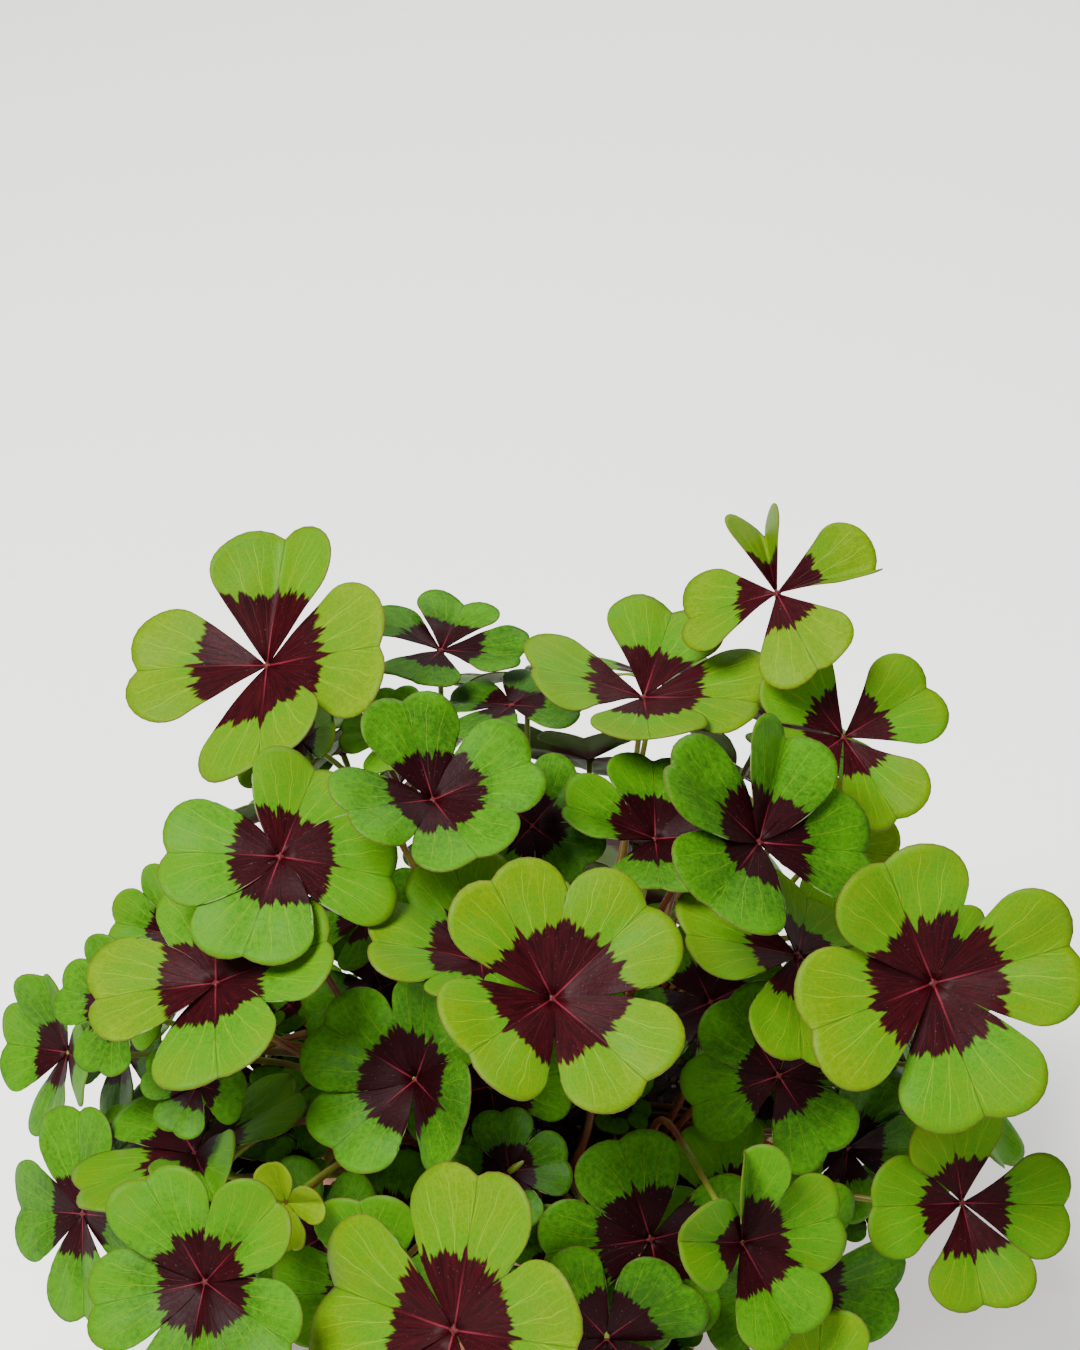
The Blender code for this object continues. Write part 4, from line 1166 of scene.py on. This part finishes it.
net = add_node(leaf_skin, "TexVoronoi", {"Vector": uv, "Scale": 30.0}, feature="DISTANCE_TO_EDGE")
net = add_node(leaf_skin, "MapRange", [net, 0.14, 0.02, 0.0, 0.2])

# The patch is nearly straight across. It ends in flames that run out along the veins and the midrib.
flames = []
for across_scale, out_scale, size in ((5.0, 2.0, 0.06), (18.0, 4.0, 0.042)):
    flame_angle = add_node(leaf_skin, "Math", [angle, across_scale], operation="MULTIPLY")
    flame_reach = add_node(leaf_skin, "Math", [reach, out_scale], operation="MULTIPLY")
    flame_place = add_node(leaf_skin, "CombineXYZ", [flame_angle, flame_reach, leaf_seed])
    flame = add_node(leaf_skin, "TexNoise", {"Vector": flame_place, "Scale": 1.0, "Detail": 2})
    flames.append(add_node(leaf_skin, "MapRange", [flame, 0.25, 0.75, -size, size]))
flame = add_node(leaf_skin, "Math", flames, operation="ADD")
spike = add_node(leaf_skin, "MapRange", [side, 0.08, 0.0, 0.0, 0.06], interpolation_type="SMOOTHSTEP")
vein_spike = add_node(leaf_skin, "Math", [vein_glow, 0.02], operation="MULTIPLY")
limit = patch_reach
for more in (flame, spike, vein_spike):
    limit = add_node(leaf_skin, "Math", [limit, more], operation="ADD")
straight = add_node(leaf_skin, "Mix", {0: 0.6, 2: reach, 3: out_share}, data_type="FLOAT")
past = add_node(leaf_skin, "Math", [straight, limit], operation="SUBTRACT")
in_patch = add_node(leaf_skin, "MapRange", [past, 0.016, -0.016], interpolation_type="SMOOTHSTEP")

# The green follows the leaf's tone, mottled finely and in clouds, limier outwards, with painted shade
# darkening it along the midrib crease.
mottle = add_node(
    leaf_skin, "TexNoise", {"Vector": place, "Scale": 1 / 0.0013, "Detail": 3, "Roughness": 0.7}
)
cloudy = add_node(leaf_skin, "TexNoise", {"Vector": place, "Scale": 1 / 0.012, "Detail": 3})
tone_shift = add_node(leaf_skin, "MapRange", [mottle, 0.3, 0.7, -0.22, 0.22])
tone_drift = add_node(leaf_skin, "MapRange", [cloudy, 0.3, 0.7, -0.16, 0.16])
tone_out = add_node(leaf_skin, "MapRange", [reach, 0.4, 0.95, -0.15, 0.15])
tone = leaf_tone
for more in (tone_shift, tone_drift, tone_out):
    tone = add_node(leaf_skin, "Math", [tone, more], operation="ADD")
vein_strength = add_node(leaf_skin, "MapRange", [leaf_tone, 0.1, 0.9, 0.2, 0.5])
vein_share = add_node(leaf_skin, "Math", [side_veins, net], operation="MAXIMUM")
vein_share = add_node(leaf_skin, "Math", [vein_share, vein_strength], operation="MULTIPLY")
# Painted shade: the old dark green is laid along the midrib crease, where the fold lies in shadow.
crease_shade_share = add_node(leaf_skin, "Math", [midrib, 0.6], operation="MULTIPLY")
shades = []
for start, shade in ((0.0, GREEN_FULL), (0.55, GREEN_YOUNG), (1.05, GREEN_PALE)):
    shades.append((add_node(leaf_skin, "MapRange", [tone, start, start + GREEN_STEP]), shade))
green = linear(GREEN_OLD)
for share, shade in (*shades, (vein_share, VEIN_GREEN), (crease_shade_share, GREEN_OLD)):
    green = add_node(leaf_skin, "Mix", {0: share, 6: green, 7: linear(shade)}, data_type="RGBA")

# In the patch the maroon is streaked along the rays and darker on old leaves. Its ribs are pink.
streaks = add_node(
    leaf_skin, "TexNoise", {"Vector": flame_place, "Scale": 1.4, "Detail": 3, "Roughness": 0.6}
)
streaks = add_node(leaf_skin, "MapRange", [streaks, 0.3, 0.7])
darker = add_node(leaf_skin, "MapRange", [leaf_tone, 0.2, 0.8, 0.85, 0.0])
pink_fade = add_node(leaf_skin, "MapRange", [reach, 0.05, 0.38, 0.75, 0.07])
ribs = add_node(leaf_skin, "Math", [main_vein, 0.22], operation="MULTIPLY")
ribs = add_node(leaf_skin, "Math", [ribs, midrib], operation="MAXIMUM")
ribs = add_node(leaf_skin, "Math", [ribs, pink_fade], operation="MULTIPLY")
maroon = linear(PATCH_DARK)
for share, shade in ((streaks, PATCH_MAROON), (darker, PATCH_DARK), (ribs, VEIN_PINK)):
    maroon = add_node(leaf_skin, "Mix", {0: share, 6: maroon, 7: linear(shade)}, data_type="RGBA")

# The edge line is rose except on the patch. The skin's short white hairs show as fine pale flecks: partly the
# hairs' own pale colour and partly painted glints where they catch the light.
margin = add_node(leaf_skin, "MapRange", [edge_gap, 0.014, 0.003, 0.0, 0.6])
off_patch = add_node(leaf_skin, "Math", [1.0, in_patch], operation="SUBTRACT")
margin = add_node(leaf_skin, "Math", [margin, off_patch], operation="MULTIPLY")
# Pale flecks: the hairs' own colour together with painted glints of light on them.
hair_glints = add_node(leaf_skin, "TexNoise", {"Vector": place, "Scale": 1 / 0.0005, "Detail": 1})
hair_glints = add_node(leaf_skin, "MapRange", [hair_glints, 0.72, 0.8, 0.0, 0.1])
colour = add_node(leaf_skin, "Mix", {0: in_patch, 6: green, 7: maroon}, data_type="RGBA")
for share, shade in ((margin, MARGIN_ROSE), (hair_glints, HAIR_GLINT_WHITE)):
    colour = add_node(leaf_skin, "Mix", {0: share, 6: colour, 7: linear(shade)}, data_type="RGBA")
relief = add_node(leaf_skin, "Math", [side_veins, midrib], operation="MAXIMUM")
relief = add_node(leaf_skin, "Math", [relief, -0.8, mottle], operation="MULTIPLY_ADD")
leaf_looks = {
    "Base Color": colour,
    "Normal": add_node(leaf_skin, "Bump", {"Height": relief, "Strength": 0.3, "Distance": 0.3 * MM}),
    "Roughness": add_node(leaf_skin, "MapRange", [mottle, 0.2, 0.8, 0.4, 0.55]),
    "IOR": 1.42,
    "Specular IOR Level": 0.07,
    "Subsurface Weight": 0.12,
    "Subsurface Radius": (0.6, 1.0, 0.15),
    "Subsurface Scale": 1.0 * MM,
}
set_inputs(leaf_shader, leaf_looks)

# Leaf skin, underside: paler and duller, with the patch showing through as a dusty rose.
under_skin, under_shader = new_material("leaf_underside", 0.62)
uv = add_node(under_skin, "UVMap", uv_map="leaflet")
reach = add_node(under_skin, "VectorMath", [uv], operation="LENGTH")
patch_reach = add_node(under_skin, "Attribute", attribute_name="patch").outputs["Fac"]
past = add_node(under_skin, "Math", [reach, patch_reach], operation="SUBTRACT")
rose = add_node(under_skin, "MapRange", [past, 0.06, -0.08], interpolation_type="SMOOTHSTEP")
place = add_node(under_skin, "TexCoord").outputs["Object"]
mottle = add_node(under_skin, "TexNoise", {"Vector": place, "Scale": 1 / 0.004, "Detail": 4})
colour = linear(UNDERSIDE_SHADED)
for share, shade in ((mottle, UNDERSIDE_GREEN), (rose, UNDERSIDE_ROSE)):
    colour = add_node(under_skin, "Mix", {0: share, 6: colour, 7: linear(shade)}, data_type="RGBA")
set_inputs(under_shader, {"Base Color": colour, "Specular IOR Level": 0.3})

for tuft, name in enumerate(tuft_names):
    grids, tones, patches, seeds = [], [], [], []
    for number, (owner, (_, leaf, _), _) in enumerate(grown):
        if owner != tuft:
            continue
        draw = random.Random(number)
        patch = 0
        if leaf.tone <= PATCH_LAST_TONE:
            patch = PATCH_REACH + draw.uniform(-PATCH_SPREAD, PATCH_SPREAD)
        along, across, gap = blade_grid(leaf.fullness)
        for petal, sheet in enumerate(blade_sheets(leaf, number * 10)):
            grids.append((sheet, along, across, gap))
            tone = leaf.tone + draw.uniform(-TONE_SPREAD, TONE_SPREAD)
            tones.append(tone + (TONE_OF_PALE if petal == leaf.pale else 0))
            patches.append(patch + draw.uniform(-PATCH_SPREAD, PATCH_SPREAD) / 2)
            seeds.append(number * 5 + petal)
    points, along, across, gap = (np.stack(part) for part in zip(*grids))
    blade_mesh = surface_mesh("leaf_blades", points)
    set_uv(blade_mesh, "leaflet", along, across)
    set_value(blade_mesh, "edge", gap)
    for attribute, values in (("tone", tones), ("patch", patches), ("seed", seeds)):
        set_value(blade_mesh, attribute, np.broadcast_to(np.array(values)[:, None, None], gap.shape))
    blades = new_piece(f"{name}_blades", blade_mesh, [leaf_skin, under_skin], "leaf_green", name)
    thickness = blades.modifiers.new("thickness", "SOLIDIFY")
    thickness.thickness = BLADE_THICKNESS
    thickness.offset = 0
    thickness.material_offset = 1

# The hubs: the small swollen knob where a leaf's stalk and its leaflets meet.
# It is juicy and rose-brown, flattened, with one low bump for each leaflet.
KNOB_SMALLEST = 0.6 * MM
KNOB_GROWTH = 0.025
KNOB_STEPS = 24
KNOB_WAIST = 0.85
KNOB_SWELLING = 0.25
KNOB_FLATNESS = 0.6
KNOB_ROSE = "3A0C12"
KNOB_TAN = "541F1E"

# Knob skin: smooth, rose-brown and mottled with tan.
knob_skin, knob_shader = new_material("hub_knob_skin", 0.45)
place = add_node(knob_skin, "TexCoord").outputs["Object"]
mottle = add_node(knob_skin, "TexNoise", {"Vector": place, "Scale": 1 / 0.0012, "Detail": 2})
colour = add_node(knob_skin, "Mix", {0: mottle, 6: linear(KNOB_ROSE), 7: linear(KNOB_TAN)}, data_type="RGBA")
set_inputs(knob_shader, {"Base Color": colour, "Specular IOR Level": 0.1})


def hub_knob(leaf):
    """A flattened ball of 7 rows of points on the leaf's hub, swollen towards each leaflet."""
    first = np.radians(leaf.headings[0])
    around = first + np.arange(KNOB_STEPS) * math.tau / KNOB_STEPS
    swollen = KNOB_WAIST + KNOB_SWELLING * np.cos(len(leaf.headings) * (around - first))
    radius = KNOB_SMALLEST + KNOB_GROWTH * leaf.length * MM
    knob = ball(7, around)
    knob[..., :2] *= swollen[:, None]
    knob[..., 2] *= KNOB_FLATNESS
    return np.array(leaf.hub) * MM + radius * knob @ leaf_axes(leaf)[1].T


for tuft, name in enumerate(tuft_names):
    knobs = np.stack([hub_knob(leaf) for owner, (_, leaf, _), _ in grown if owner == tuft])
    knob_mesh = surface_mesh("hub_knobs", knobs, closed=True)
    weld(knob_mesh)
    new_piece(f"{name}_hubs", knob_mesh, [knob_skin], "leaf_green", name)
